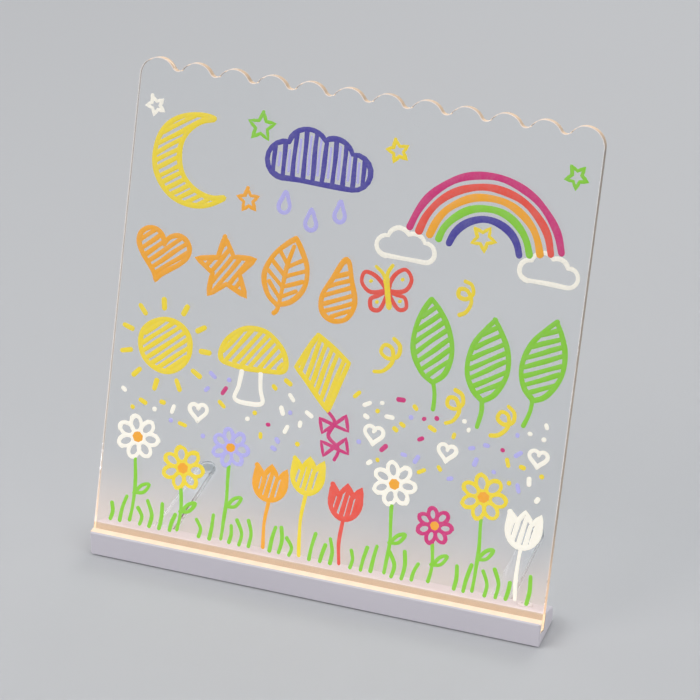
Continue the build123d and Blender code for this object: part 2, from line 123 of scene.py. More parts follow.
class Graph:
    """The node tree of a new material or world, with short ways to add and join its nodes."""

    def __init__(self, name: str, kind: Shaded = Shaded.MATERIAL) -> None:
        """Starts an empty tree with an output node.

        Args:
            name: The material's or world's name.
            kind: Which of the two it is.
        """
        places = {Shaded.MATERIAL: bpy.data.materials, Shaded.WORLD: bpy.data.worlds}
        self.owner = places[kind].new(name)
        self.owner.use_nodes = True
        self.tree = self.owner.node_tree
        self.tree.nodes.clear()
        self.output = self.tree.nodes.new(f"ShaderNodeOutput{kind.value}")

    def feed(self, socket: Socket, value: object) -> None:
        """Links a socket to another one, or sets its value.

        Args:
            socket: The input to fill.
            value: An output socket, a number or a tuple.
        """
        if isinstance(value, Socket):
            self.tree.links.new(value, socket)
        else:
            socket.default_value = value

    def add(self, kind: str, inputs: dict | None = None, **settings: object) -> Shader:
        """Adds a shader node.

        Args:
            kind: The node's type, without the prefix that all shader nodes share.
            inputs: Values or sockets for its inputs, by name or number.
            settings: The node's own settings.

        Returns:
            The new node.
        """
        node = self.tree.nodes.new(f"ShaderNode{kind}")
        for name, value in settings.items():
            setattr(node, name, value)
        for name, value in (inputs or {}).items():
            self.feed(node.inputs[name], value)
        return node

    def place(self) -> Socket:
        """Coordinates on the object."""
        return self.add("TexCoord").outputs["Object"]

    def normal(self) -> Socket:
        """The surface's own direction on the object."""
        return self.add("TexCoord").outputs["Normal"]

    def math(self, operation: str, *values: object) -> Socket:
        """Works out a Math node's operation on numbers or sockets."""
        return self.add("Math", dict(enumerate(values)), operation=operation).outputs[0]

    def along(self, vector: object, direction: Sequence[float]) -> Socket:
        """How far a vector reaches in a fixed direction."""
        inputs = {0: vector, 1: tuple(direction)}
        return self.add("VectorMath", inputs, operation="DOT_PRODUCT").outputs["Value"]

    def noise(self, grain: Grain) -> Socket:
        """Soft random variation over the object.

        Args:
            grain: Its spots.

        Returns:
            The factor's socket.
        """
        place = self.add("Mapping", {"Vector": self.place(), "Scale": grain.stretch}).outputs["Vector"]
        inputs = {"Vector": place, "Scale": 1 / (grain.size * MM), "Detail": grain.detail}
        return self.add("TexNoise", inputs).outputs[0]

    def span(self, value: object, start: Point, end: Point, smooth: bool = False) -> Socket:
        """Maps a value from one range to another, and keeps it inside.

        Args:
            value: The value's socket.
            start: A value, and what it becomes.
            end: Another value, and what it becomes.
            smooth: Whether the change eases in and out.

        Returns:
            The mapped value's socket.
        """
        ends = zip(("From Min", "To Min", "From Max", "To Max"), (*start, *end))
        kind = "SMOOTHSTEP" if smooth else "LINEAR"
        node = self.add("MapRange", {"Value": value, **dict(ends)}, interpolation_type=kind)
        return node.outputs["Result"]

    def spread(self, noise: object, low: float, high: float) -> Socket:
        """Maps a noise's usual values to a range."""
        return self.span(noise, (NOISE_LOW, low), (NOISE_HIGH, high))

    def tint(self, share: object, first: object, second: object) -> Socket:
        """Blends two colours.

        Args:
            share: The second colour's share.
            first: Colour, or its socket, where the share is zero.
            second: Colour, or its socket, where the share is one.

        Returns:
            The colour's socket.
        """
        node = self.add("Mix", data_type="RGBA")
        for number, value in zip(MIX_INPUTS, (share, first, second)):
            self.feed(node.inputs[number], (*value, 1) if isinstance(value, tuple) else value)
        return node.outputs[MIX_RESULT]

    def bump(self, height: object, depth: float) -> Socket:
        """Surface relief: heights from zero to one, of which one stands for a depth in millimetres."""
        return self.add("Bump", {"Height": height, "Distance": depth * MM}).outputs["Normal"]

    def surface(self, **inputs: object) -> Shader:
        """Adds the main shader, with underscores for the spaces in its inputs' names."""
        return self.add("BsdfPrincipled", {name.replace("_", " "): value for name, value in inputs.items()})

    def mixed(self, share: object, first: Shader, second: Shader) -> Shader:
        """Mixes two shaders by the second one's share."""
        return self.add("MixShader", {0: share, 1: first.outputs[0], 2: second.outputs[0]})

    def seen(self) -> Socket:
        """One for what is seen, straight, mirrored or through glass, and zero for what only lights.

        Returns:
            The share's socket.
        """
        rays = self.add("LightPath").outputs
        direct = self.math("MAXIMUM", rays["Is Camera Ray"], rays["Is Glossy Ray"])
        return self.math("MAXIMUM", direct, rays["Is Transmission Ray"])

    def done(self, shader: Shader) -> bpy.types.ID:
        """Joins the last shader to the output, and gives the finished material or world."""
        self.tree.links.new(shader.outputs[0], self.output.inputs["Surface"])
        return self.owner

    def done_clear(self, shader: Shader, shade: Colour) -> Material:
        """Joins a clear shader to the output, and lets the lamps shine through it.

        Args:
            shader: The clear shader.
            shade: What it leaves of the light that passes.

        Returns:
            The finished material.
        """
        clear = self.add("BsdfTransparent", {"Color": (*shade, 1)})
        shadow = self.add("LightPath").outputs["Is Shadow Ray"]
        return self.done(self.mixed(shadow, shader, clear))


def joint_axis(body: Body) -> Vector:
    """Direction that a body slides in, one long."""
    joint = next(j for j in frame["joints"] if j["child"] == body.value)
    return Vector(joint["axis"]).normalized()


def on_face(place: Vector, right: Vector, up: Vector, out: Vector, flatness: float) -> Matrix:
    """Takes millimetres on a face, thickness pressed flat, to metres in the model."""
    axes = Matrix((right, up, out)).transposed().to_4x4()
    return Matrix.Translation(place) @ axes @ Matrix.Diagonal((MM, MM, MM * flatness, 1))


@dataclass(frozen=True)
class PanelFace:
    """The panel's front face: where it is, and which way it leans."""

    origin: Vector
    right: Vector
    up: Vector
    out: Vector
    crest: float

    @classmethod
    def measured(cls) -> "PanelFace":
        """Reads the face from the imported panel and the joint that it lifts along.

        Returns:
            The face, with its origin at the base's top.
        """
        up = joint_axis(Body.PANEL)
        right = Vector((1, 0, 0))
        out = right.cross(up)
        corners = [v.co for v in frame["nodes"]["acrylic_panel"].data.vertices]
        front = max(c.dot(out) for c in corners)
        base_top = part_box("base_shell")[1].z
        origin = out * front + up * ((base_top - out.z * front) / up.z)
        crest = max(c.dot(up) for c in corners) - origin.dot(up)
        return cls(origin, right, up, out, crest)

    def height(self, nodes: Graph) -> Socket:
        """How far up the panel a point lies, over the base's top, in metres."""
        return nodes.math("SUBTRACT", nodes.along(nodes.place(), self.up), self.origin.dot(self.up))


@dataclass(frozen=True)
class EdgeLitAcrylic:
    """Clear polished sheet, lit from its foot, that gives the light off at its edges."""

    shade: Colour = (0.90, 0.92, 0.94)
    body: Colour = (0.975, 0.985, 0.99)
    glow: Colour = (1.0, 0.70, 0.44)
    # Colour of the painted glow on the sheet near its foot.
    foot_glow_colour: Colour = (1.0, 0.50, 0.20)
    index: float = 1.49
    face_ends: Point = (0.55, 0.97)
    edge_strength: float = 0.72
    top_share: float = 0.9
    side_foot_share: float = 0.42
    side_top_share: float = 0.16
    streaks: Grain = Grain(7.0, 2.0)
    streak_share: float = 0.72
    # Painted warm glow on the sheet near its foot: its strength, and how far up it fades out, in
    # millimetres.
    foot_glow_strength: float = 0.11
    foot_glow_reach: float = 60.0
    wipes: Grain = Grain(26.0, 4.0, (1.0, 0.35, 0.35))
    polish: tuple[Point, Point] = ((0.42, 0.012), (0.72, 0.05))

    def material(self, face: PanelFace) -> Material:
        """Makes the material.

        Args:
            face: The panel's front face.

        Returns:
            The material.
        """
        nodes = Graph("clear_acrylic")
        normal = nodes.normal()
        flat = nodes.math("ABSOLUTE", nodes.along(normal, face.out))
        edge = nodes.span(flat, (self.face_ends[0], 1.0), (self.face_ends[1], 0.0), smooth=True)
        height = face.height(nodes)
        side = nodes.span(height, (0.0, self.side_foot_share), (face.crest, self.side_top_share))
        upward = nodes.span(nodes.along(normal, face.up), (0.0, side), (self.top_share, 1.0))
        streaks = nodes.spread(nodes.noise(self.streaks), self.streak_share, 1.0)
        edge_glow = nodes.math("MULTIPLY", nodes.math("MULTIPLY", edge, upward), streaks)
        # Painted glow: a warm emission on the sheet's faces near its foot, fading out upward, stands in for
        # lamp light scattered in the sheet.
        fade = nodes.span(height, (0.0, 1.0), (self.foot_glow_reach * MM, 0.0), smooth=True)
        foot_glow_emission = nodes.math("MULTIPLY", nodes.math("POWER", fade, 2.0), self.foot_glow_strength)
        shader = nodes.surface(
            Base_Color=(*self.body, 1),
            Roughness=nodes.span(nodes.noise(self.wipes), *self.polish),
            IOR=self.index,
            Transmission_Weight=1.0,
            Emission_Color=nodes.tint(edge, self.foot_glow_colour, self.glow),
            Emission_Strength=nodes.math("MULTIPLY_ADD", edge_glow, self.edge_strength, foot_glow_emission),
        )
        return nodes.done_clear(shader, self.shade)


@dataclass(frozen=True)
class ClearMoulding:
    """Clear moulded plastic with faint flow marks, for the legs."""

    body: Colour = (0.965, 0.98, 0.985)
    flow_tone: Colour = (0.945, 0.968, 0.977)
    shade: Colour = (0.91, 0.93, 0.945)
    index: float = 1.38
    flow: Grain = Grain(5.0, 3.0, (1.0, 0.3, 1.0))
    polish: tuple[Point, Point] = ((0.35, 0.04), (0.7, 0.11))
    depth: float = 0.03

    def material(self) -> Material:
        """Makes the material.

        Returns:
            The material.
        """
        nodes = Graph("clear_leg")
        flow = nodes.noise(self.flow)
        shader = nodes.surface(
            Base_Color=nodes.tint(flow, self.body, self.flow_tone),
            Roughness=nodes.span(flow, *self.polish),
            IOR=self.index,
            Transmission_Weight=1.0,
            Normal=nodes.bump(flow, self.depth),
        )
        return nodes.done_clear(shader, self.shade)


@dataclass(frozen=True)
class FrostedGlow:
    """Frosted channel that glows warm white, a little brighter over each lamp."""

    body: Colour = (0.30, 0.27, 0.23)
    shift: Colour = (0.34, 0.31, 0.27)
    glow: Colour = (1.0, 0.75, 0.52)
    strength: float = 0.74
    lamp_dip: float = 0.07
    lamp_pitch: float = 10.0
    rear_share: float = 0.16
    rear_ends: Point = (-0.3, 0.05)
    frost: Grain = Grain(0.35, 2.0)
    roughness: Point = (0.42, 0.58)
    depth: float = 0.02

    def material(self, face: PanelFace) -> Material:
        """Makes the material: the strip before the panel glows most, what lies behind it little.

        Args:
            face: The panel's front face.

        Returns:
            The material.
        """
        nodes = Graph("frosted_diffuser")
        across = nodes.along(nodes.place(), face.right)
        wave = nodes.math("SINE", nodes.math("MULTIPLY", across, math.pi / (self.lamp_pitch * MM)))
        over_lamp = nodes.math("POWER", wave, 2.0)
        lamps = nodes.span(over_lamp, (0.0, self.strength * (1 - self.lamp_dip)), (1.0, self.strength))
        ahead = nodes.math("SUBTRACT", nodes.along(nodes.place(), face.out), face.origin.dot(face.out))
        rear, front = (end * MM for end in self.rear_ends)
        share = nodes.span(ahead, (rear, self.rear_share), (front, 1.0))
        frost = nodes.noise(self.frost)
        shader = nodes.surface(
            Base_Color=nodes.tint(frost, self.body, self.shift),
            Roughness=nodes.spread(frost, *self.roughness),
            Emission_Color=(*self.glow, 1),
            Emission_Strength=nodes.math("MULTIPLY", lamps, share),
            Normal=nodes.bump(frost, self.depth),
        )
        return nodes.done(shader)


@dataclass(frozen=True)
class SatinMoulding:
    """Opaque moulded plastic with a fine eroded texture and faint flow marks."""

    name: str
    body: Colour
    shift: Colour
    roughness: float = 0.42
    grain: float = 0.35
    depth: float = 0.012
    flow: Grain = Grain(38.0, 3.0, (0.4, 1.0, 1.0))
    sparkle: float = 0.4
    index: float = 1.5
    shine: Point = (-0.05, 0.07)

    def material(self) -> Material:
        """Makes the material.

        Returns:
            The material.
        """
        nodes = Graph(self.name)
        flow = nodes.noise(self.flow)
        fine = nodes.noise(Grain(self.grain, 2.0))
        finer = nodes.noise(Grain(self.grain * self.sparkle, 1.0))
        shader = nodes.surface(
            Base_Color=nodes.tint(nodes.spread(flow, 0.0, 1.0), self.body, self.shift),
            Roughness=nodes.spread(fine, *(self.roughness + step for step in self.shine)),
            IOR=self.index,
            Normal=nodes.bump(nodes.math("MULTIPLY_ADD", finer, self.sparkle, fine), self.depth),
        )
        return nodes.done(shader)


@dataclass(frozen=True)
class Metal:
    """Plated metal with a fine turned or drawn grain."""

    name: str
    body: Colour
    shift: Colour
    roughness: float = 0.28
    stretch: Triple = (1.0, 1.0, 1.0)
    grain: float = 0.25
    stains: Grain = Grain(1.8, 2.0)
    shine: Point = (-0.06, 0.12)
    depth: float = 0.006

    def material(self) -> Material:
        """Makes the material.

        Returns:
            The material.
        """
        nodes = Graph(self.name)
        drawn = nodes.noise(Grain(self.grain, stretch=self.stretch))
        shader = nodes.surface(
            Base_Color=nodes.tint(nodes.noise(self.stains), self.body, self.shift),
            Metallic=1.0,
            Roughness=nodes.spread(drawn, *(self.roughness + step for step in self.shine)),
            Normal=nodes.bump(drawn, self.depth),
        )
        return nodes.done(shader)


@dataclass(frozen=True)
class SolderMask:
    """White circuit board: tracks that show through the mask, and a glass weave at its edges."""

    mask: Colour = (0.82, 0.84, 0.81)
    track: Colour = (0.72, 0.75, 0.70)
    core: Colour = (0.62, 0.60, 0.42)
    core_shift: Colour = (0.52, 0.50, 0.33)
    weave: Grain = Grain(0.4)
    track_pitch: float = 1.6
    track_ends: Point = (0.17, 0.21)
    wander: float = 1.3
    drift: Grain = Grain(14.0, 0.0, (1.0, 0.1, 0.1))
    face_ends: Point = (0.3, 0.6)
    gloss: Grain = Grain(3.0)
    roughness: Point = (0.30, 0.44)
    depth: float = 0.03

    def material(self) -> Material:
        """Makes the material.

        Returns:
            The material.
        """
        nodes = Graph("circuit_board")
        lane = nodes.math("MULTIPLY", nodes.along(nodes.place(), (0, 1, 0)), 1 / (self.track_pitch * MM))
        drift = nodes.noise(self.drift)
        lane = nodes.math("ADD", lane, nodes.math("MULTIPLY", drift, self.wander))
        band = nodes.math("PINGPONG", lane, 0.5)
        track = nodes.span(band, (self.track_ends[0], 1.0), (self.track_ends[1], 0.0))
        up = nodes.math("ABSOLUTE", nodes.along(nodes.normal(), (0, 0, 1)))
        face = nodes.span(up, (self.face_ends[0], 0.0), (self.face_ends[1], 1.0))
        edge = nodes.tint(nodes.noise(self.weave), self.core, self.core_shift)
        shader = nodes.surface(
            Base_Color=nodes.tint(face, edge, nodes.tint(track, self.mask, self.track)),
            Roughness=nodes.spread(nodes.noise(self.gloss), *self.roughness),
            Normal=nodes.bump(track, self.depth),
        )
        return nodes.done(shader)


@dataclass(frozen=True)
class LampPackage:
    """White lamp package with a warm phosphor face in its middle."""

    package: Colour = (0.86, 0.85, 0.82)
    phosphor: Colour = (0.93, 0.66, 0.12)
    glow: Colour = (1.0, 0.78, 0.45)
    strength: float = 0.9
    face_radius: float = 1.05
    rim: Point = (0.94, 1.04)
    pitch: float = 10.0
    grain: Grain = Grain(0.5)
    roughness: Point = (0.28, 0.5)
    depth: float = 0.05

    def material(self, middle_y: float) -> Material:
        """Makes the material.

        Args:
            middle_y: Where the row of lamps lies, in metres.

        Returns:
            The material.
        """
        nodes = Graph("lamp_lens")
        place = nodes.place()
        across = nodes.math("PINGPONG", nodes.along(place, (1, 0, 0)), self.pitch * MM)
        off_x = nodes.math("SUBTRACT", across, self.pitch / 2 * MM)
        off_y = nodes.math("SUBTRACT", nodes.along(place, (0, 1, 0)), middle_y)
        squares = nodes.math("ADD", *(nodes.math("POWER", off, 2.0) for off in (off_x, off_y)))
        inner, outer = (share * self.face_radius * MM for share in self.rim)
        disc = nodes.span(nodes.math("SQRT", squares), (inner, 1.0), (outer, 0.0))
        shader = nodes.surface(
            Base_Color=nodes.tint(disc, self.package, self.phosphor),
            Roughness=nodes.spread(nodes.noise(self.grain), *self.roughness),
            Emission_Color=(*self.glow, 1),
            Emission_Strength=nodes.math("MULTIPLY", disc, self.strength),
            Normal=nodes.bump(disc, self.depth),
        )
        return nodes.done(shader)


@dataclass(frozen=True)
class WireJacket:
    """Two jackets side by side: one colour on each side of a place along the base."""

    name: str
    left: Colour
    right: Colour
    ripple: Grain = Grain(0.6, 2.0, (1.0, 0.2, 1.0))
    roughness: Point = (0.34, 0.5)
    depth: float = 0.02

    def material(self, split: float) -> Material:
        """Makes the material.

        Args:
            split: Place along the base between the two wires, in metres.

        Returns:
            The material.
        """
        nodes = Graph(self.name)
        side = nodes.math("GREATER_THAN", nodes.along(nodes.place(), (1, 0, 0)), split)
        ripple = nodes.noise(self.ripple)
        shader = nodes.surface(
            Base_Color=nodes.tint(side, self.left, self.right),
            Roughness=nodes.spread(ripple, *self.roughness),
            Normal=nodes.bump(ripple, self.depth),
        )
        return nodes.done(shader)


@dataclass(frozen=True)
class MarkerInk:
    """Chalk marker ink: streaky, and lit by the sheet, most of all near the sheet's foot."""

    ink: Ink
    top_glow: float = 0.10
    foot_glow: float = 0.34
    reach: float = 150.0
    thin_share: float = 0.84
    thin_white: float = 0.06
    streaks: Grain = Grain(1.1)
    streak_share: float = 0.6
    patches: Grain = Grain(6.0, 2.0)
    patch_share: float = 0.4
    patch_glow: float = 0.8
    wear_ends: Point = (0.42, 0.66)
    roughness: Point = (0.45, 0.68)
    depth: float = 0.06

    def material(self, face: PanelFace) -> Material:
        """Makes the material.

        Args:
            face: The panel's front face.

        Returns:
            The material.
        """
        nodes = Graph(f"ink_{self.ink.name.lower()}")
        body = self.ink.value
        thin = tuple(c * self.thin_share + self.thin_white for c in body)
        streak = nodes.noise(self.streaks)
        patch = nodes.noise(self.patches)
        worn = nodes.math("MULTIPLY", patch, self.patch_share)
        wear = nodes.math("MULTIPLY_ADD", streak, self.streak_share, worn)
        low, high = self.wear_ends
        glow = nodes.span(face.height(nodes), (0.0, self.foot_glow), (self.reach * MM, self.top_glow))
        shader = nodes.surface(
            Base_Color=nodes.tint(nodes.span(wear, (low, 0.0), (high, 1.0)), body, thin),
            Roughness=nodes.spread(streak, *self.roughness),
            Emission_Color=(*body, 1),
            Emission_Strength=nodes.math("MULTIPLY", glow, nodes.spread(patch, self.patch_glow, 1.0)),
            Normal=nodes.bump(streak, self.depth),
        )
        return nodes.done(shader)


def paint(piece: Piece, material: Material) -> None:
    """Gives a piece one material.

    Args:
        piece: The piece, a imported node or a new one.
        material: Its material.
    """
    if not piece.material_slots:
        piece.data.materials.append(material)
    for held in piece.material_slots:
        held.link = "OBJECT"
        held.material = material


def dress(material: Material, *names: str) -> None:
    """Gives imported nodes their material.

    Args:
        material: The material.
        names: The nodes' names.
    """
    for name in names:
        paint(frame["nodes"][name], material)
        log.info("dressed %s with %s", name, material.name)


def middle_of(node: str) -> Vector:
    """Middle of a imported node's box."""
    return sum(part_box(node), Vector()) / 2


def select_only(*pieces: Piece) -> None:
    """Selects objects and nothing else, and makes the first one active.

    Args:
        pieces: The objects, or none.
    """
    for held in bpy.context.selected_objects:
        held.select_set(False)
    for piece in pieces:
        piece.select_set(True)
    if pieces:
        bpy.context.view_layer.objects.active = pieces[0]


def start(add: Callable[..., object], name: str, **where: object) -> Piece:
    """Adds a primitive with nothing else selected, and settles it.

    Args:
        add: The operator that adds it.
        name: The new object's name.
        where: The operator's own settings.

    Returns:
        The new object.
    """
    select_only()
    add(**where)
    piece = bpy.context.object
    piece.name = name
    piece.data.name = name
    settle(piece)
    return piece


def pick_faces(piece: Piece, direction: Sequence[float]) -> None:
    """Selects, in object mode, the faces that look in a direction.

    Args:
        piece: The mesh object.
        direction: The direction, one long.
    """
    for part in (*piece.data.vertices, *piece.data.edges):
        part.select = False
    for polygon in piece.data.polygons:
        polygon.select = polygon.normal.dot(Vector(direction)) > FACES_UP


def edit(piece: Piece, *steps: Callable[[], object]) -> None:
    """Runs operators on a piece in edit mode, on its selected faces.

    Args:
        piece: The mesh object.
        steps: The operators, each with its settings bound.
    """
    select_only(piece)
    bpy.ops.object.mode_set(mode="EDIT")
    bpy.ops.mesh.select_mode(type="FACE")
    for step in steps:
        step()
    bpy.ops.object.mode_set(mode="OBJECT")


def settle(piece: Piece) -> None:
    """Puts an object's place, turn and scale into its mesh."""
    select_only(piece)
    bpy.ops.object.transform_apply(location=True, rotation=True, scale=True)


def soften(piece: Piece, width: float, segments: int = 1) -> None:
    """Rounds a piece's edges and applies the modifier.

    Args:
        piece: The mesh object.
        width: The rounding, in millimetres.
        segments: Faces across it.
    """
    select_only(piece)
    bevel = piece.modifiers.new("Bevel", "BEVEL")
    bevel.width = width * MM
    bevel.segments = segments
    bpy.ops.object.modifier_apply(modifier=bevel.name)
    bpy.ops.object.shade_smooth_by_angle(angle=SMOOTH_CREASE)


def repeat(piece: Piece, moves: Iterable[Matrix]) -> None:
    """Repeats a settled piece at other places, and joins it all to one piece.

    Args:
        piece: The first one.
        moves: What takes it to each other place.
    """
    made = []
    for move in moves:
        other = piece.copy()
        other.data = piece.data.copy()
        other.data.transform(move)
        bpy.context.scene.collection.objects.link(other)
        made.append(other)
    select_only(piece, *made)
    bpy.ops.object.join()


def raised(
    name: str, paths: Iterable[Sequence[Triple]], place: Matrix, sides: int
) -> Piece:
    """Draws raised lines on a face: a tube along each path, pressed flat.

    Args:
        name: The new object's name.
        paths: Each line's points, with its half width at each, in millimetres.
        place: Takes millimetres on the face to metres in the model.
        sides: The tube's fineness.

    Returns:
        The lines, as a mesh.
    """
    curve = bpy.data.curves.new(name, "CURVE")
    curve.dimensions = "3D"
    curve.bevel_depth = 1.0  # A point's radius is then the line's half width there.
    curve.bevel_resolution = sides
    curve.use_fill_caps = True
    for path in paths:
        spline = curve.splines.new("POLY")
        spline.points.add(len(path) - 1)
        for point, (x, y, half) in zip(spline.points, path):
            point.co = (x, y, 0, 1)
            point.radius = half
    piece = bpy.data.objects.new(name, curve)
    bpy.context.scene.collection.objects.link(piece)
    select_only(piece)
    bpy.ops.object.convert(target="MESH")
    piece.matrix_world = place
    settle(piece)
    bpy.ops.object.shade_smooth_by_angle(angle=STROKE_CREASE)
    return piece


def finish_piece(piece: Piece, material: Material, body: Body) -> None:
    """Paints a finished piece and hangs it on its body.

    Args:
        piece: The piece.
        material: Its material.
        body: The body that it rides on.
    """
    paint(piece, material)
    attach(piece, body.value)
    log.info("made %s with %d faces on %s", piece.name, len(piece.data.polygons), body.value)


def spans(node: str, gap: float = 0.4) -> list[Point]:
    """Where a node's separate solids lie along the base.

    Args:
        node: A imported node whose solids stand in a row.
        gap: The least space between two of them, in millimetres.

    Returns:
        The left and right end of each, in metres.
    """
    mesh = frame["nodes"][node].data
    found: list[list[float]] = []
    for low, high in sorted(sorted(mesh.vertices[v].co.x for v in edge.vertices) for edge in mesh.edges):
        if found and low - found[-1][1] <= gap * MM:
            found[-1][1] = max(found[-1][1], high)
        else:
            found.append([low, high])
    return [(low, high) for low, high in found]


@dataclass(frozen=True)
class Stroke:
    """One line of the pen, in millimetres on the panel."""

    points: tuple[Point, ...]
    width: float = 1.9
    closed: bool = False
    sharp: bool = False

    def moved(self, across: float, up: float, turn: float, size: float) -> "Stroke":
        """Turns, scales and moves the stroke.

        Args:
            across: Move to the right.
            up: Move up the panel.
            turn: Turn in degrees, anticlockwise.
            size: Scale.

        Returns:
            The moved stroke.
        """
        c, s = math.cos(math.radians(turn)) * size, math.sin(math.radians(turn)) * size
        points = tuple((across + x * c - y * s, up + x * s + y * c) for x, y in self.points)
        return replace(self, points=points)


@dataclass
class Hand:
    """The hand that draws: smooths each stroke, and gives it a slight wobble and round ends."""

    seed: int = 7
    step: float = 1.1
    wobble: float = 0.22
    wave_lengths: Point = (9.0, 3.1)
    quick_share: float = 0.35
    pressure: float = 0.09
    pressure_length: float = 4.3
    least_width: float = 0.1
    end_shares: tuple[float, ...] = (0.0, 0.06, 0.24, 0.55)
    digits: int = 3
    dice: random.Random = field(init=False)

    def __post_init__(self) -> None:
        """Starts its own row of random numbers."""
        self.dice = random.Random(self.seed)

    def smoothed(self, points: Points, closed: bool) -> list[Point]:
        """Runs a smooth line through the points.

        Args:
            points: The points.
            closed: Whether the line comes back to its start.

        Returns:
            Points closer together, on that line.
        """
        held = list(points)
        count = len(held)
        if count < 3:
            return self.divided(points, closed)
        made = []
        for k in range(count if closed else count - 1):
            if closed:
                a, b, c, d = (held[(k + n) % count] for n in (-1, 0, 1, 2))
            else:
                a, b = held[max(k - 1, 0)], held[k]
                c, d = held[k + 1], held[min(k + 2, count - 1)]
            pieces = max(2, round(math.dist(b, c) / self.step))
            for n in range(pieces):
                t = n / pieces
                made.append(tuple(self.between(a[i], b[i], c[i], d[i], t) for i in (0, 1)))
        made.append(held[0] if closed else held[-1])
        return made

    @staticmethod
    def between(a: float, b: float, c: float, d: float, t: float) -> float:
        """Smooth value at a share t of the way from b to c, with a before them and d after."""
        bend = (2 * a - 5 * b + 4 * c - d) * t * t + (3 * b - a - 3 * c + d) * t**3
        return (2 * b + (c - a) * t + bend) / 2

    def divided(self, points: Points, closed: bool) -> list[Point]:
        """Divides straight runs, and keeps their corners.

        Args:
            points: The corners.
            closed: Whether the line comes back to its start.

        Returns:
            Points closer together, on those runs.
        """
        held = list(points) + ([points[0]] if closed else [])
        made = []
        for a, b in zip(held, held[1:]):
            pieces = max(1, round(math.dist(a, b) / (2 * self.step)))
            made += [
                (a[0] + (b[0] - a[0]) * n / pieces, a[1] + (b[1] - a[1]) * n / pieces)
                for n in range(pieces)
            ]
        return made + [held[-1]]

    def path(self, stroke: Stroke) -> list[Point]:
        """Line of the pen's tip: run past its start if it is closed, and drawn out at both ends.

        Args:
            stroke: The stroke.

        Returns:
            The line's points.
        """
        fine = self.divided if stroke.sharp else self.smoothed
        line = fine(stroke.points, stroke.closed)
        if stroke.closed:
            line += line[1 : 1 + max(1, round(stroke.width / self.step))]
        for near, here in ((1, 0), (-2, -1)):
            (ax, ay), (bx, by) = line[near], line[here]
            share = stroke.width / 2 / max(math.dist(line[near], line[here]), TINY)
            line[here] = (bx + (bx - ax) * share, by + (by - ay) * share)
        return line

    def trace(self, stroke: Stroke) -> list[Triple]:
        """Draws a stroke.

        Args:
            stroke: The stroke.

        Returns:
            Points with the pen's half width at each.
        """
        line = self.path(stroke)
        marks = [0.0]
        for a, b in zip(line, line[1:]):
            marks.append(marks[-1] + math.dist(a, b))
        total, radius = marks[-1], stroke.width / 2
        cap = min(radius, total / 2)
        ends = [share * cap for share in self.end_shares] + [cap]
        inner = [mark for mark in marks if cap < mark < total - cap]
        stations = sorted({round(s, self.digits) for s in (*ends, *inner, *(total - e for e in ends))})
        phases = [self.dice.uniform(0, math.tau) for _ in range(4)]
        made = []
        for station in stations:
            k = min(bisect_right(marks, station), len(line) - 1)
            share = (station - marks[k - 1]) / (marks[k] - marks[k - 1])
            x, y = (line[k - 1][i] + (line[k][i] - line[k - 1][i]) * share for i in (0, 1))
            slow, quick = (station / length for length in self.wave_lengths)
            dx, dy = (
                math.sin(slow + first) + self.quick_share * math.sin(quick + second)
                for first, second in (phases[:2], phases[2:])
            )
            press = 1 + self.pressure * math.sin(station / self.pressure_length + phases[1])
            inward = min(1.0, min(station, total - station) / cap)
            rounding = math.sqrt(max(0.0, 1 - (1 - inward) ** 2))
            half = radius * press * max(rounding, self.least_width)
            made.append((x + dx * self.wobble, y + dy * self.wobble, half))
        return made


def ring(radius: float, squash: float = 1.0, count: int = 14) -> tuple[Point, ...]:
    """Points round an ellipse, from half its width and its height over its width."""
    turns = [math.tau * k / count for k in range(count)]
    return tuple((radius * math.cos(t), radius * squash * math.sin(t)) for t in turns)


def arc(radius: float, start_turn: float, end_turn: float, count: int = 9) -> tuple[Point, ...]:
    """Points along a circle's arc, between two directions in degrees."""
    turns = [math.radians(start_turn + (end_turn - start_turn) * k / (count - 1)) for k in range(count)]
    return tuple((radius * math.cos(t), radius * math.sin(t)) for t in turns)


def star(radius: float, waist: float = 0.46, tips: int = 5) -> tuple[Point, ...]:
    """Corners of a star with one tip up.

    Args:
        radius: From its middle to a tip.
        waist: Inner radius over the outer one.
        tips: How many tips.

    Returns:
        The corners.
    """
    made = []
    for k in range(2 * tips):
        turn = math.pi / 2 + math.pi * k / tips
        reach = radius * (waist if k % 2 else 1)
        made.append((reach * math.cos(turn), reach * math.sin(turn)))
    return tuple(made)


def heart(size: float, count: int = 22) -> tuple[Point, ...]:
    """Outline of a heart.

    Args:
        size: Half its width.
        count: How many points.

    Returns:
        The points.
    """
    made = []
    for k in range(count):
        t = math.tau * k / count
        x = 16 * math.sin(t) ** 3
        y = 13 * math.cos(t) - 5 * math.cos(2 * t) - 2 * math.cos(3 * t) - math.cos(4 * t)
        made.append((x * size / 16, y * size / 16))
    return tuple(made)


def crescent(radius: float, tip: float = 60, inset: float = 0.46, count: int = 15) -> tuple[Point, ...]:
    """Outline of a crescent moon, open to the right.

    Args:
        radius: Its outer radius.
        tip: Direction of its upper tip, in degrees.
        inset: Place of the inner circle's middle over the outer radius.
        count: How many points its outer side has.

    Returns:
        The points.
    """
    middle = inset * radius
    x, y = arc(radius, tip, tip, 2)[0]
    inner_radius, inner_tip = math.hypot(x - middle, y), math.degrees(math.atan2(y, x - middle))
    inner = [(x + middle, y) for x, y in arc(inner_radius, 360 - inner_tip, inner_tip, count - 2)]
    return (*arc(radius, tip, 360 - tip, count), *inner[1:-1])


def crossing(a: Circle, b: Circle) -> Point:
    """Upper point where two circles cross.

    Args:
        a: The left circle's middle and radius.
        b: The right circle's middle and radius.

    Returns:
        The point.
    """
    apart = math.dist(a[:2], b[:2])
    along = (apart**2 + a[2] ** 2 - b[2] ** 2) / (2 * apart)
    off = math.sqrt(a[2] ** 2 - along**2)
    dx, dy = (b[0] - a[0]) / apart, (b[1] - a[1]) / apart
    return (a[0] + dx * along - dy * off, a[1] + dy * along + dx * off)


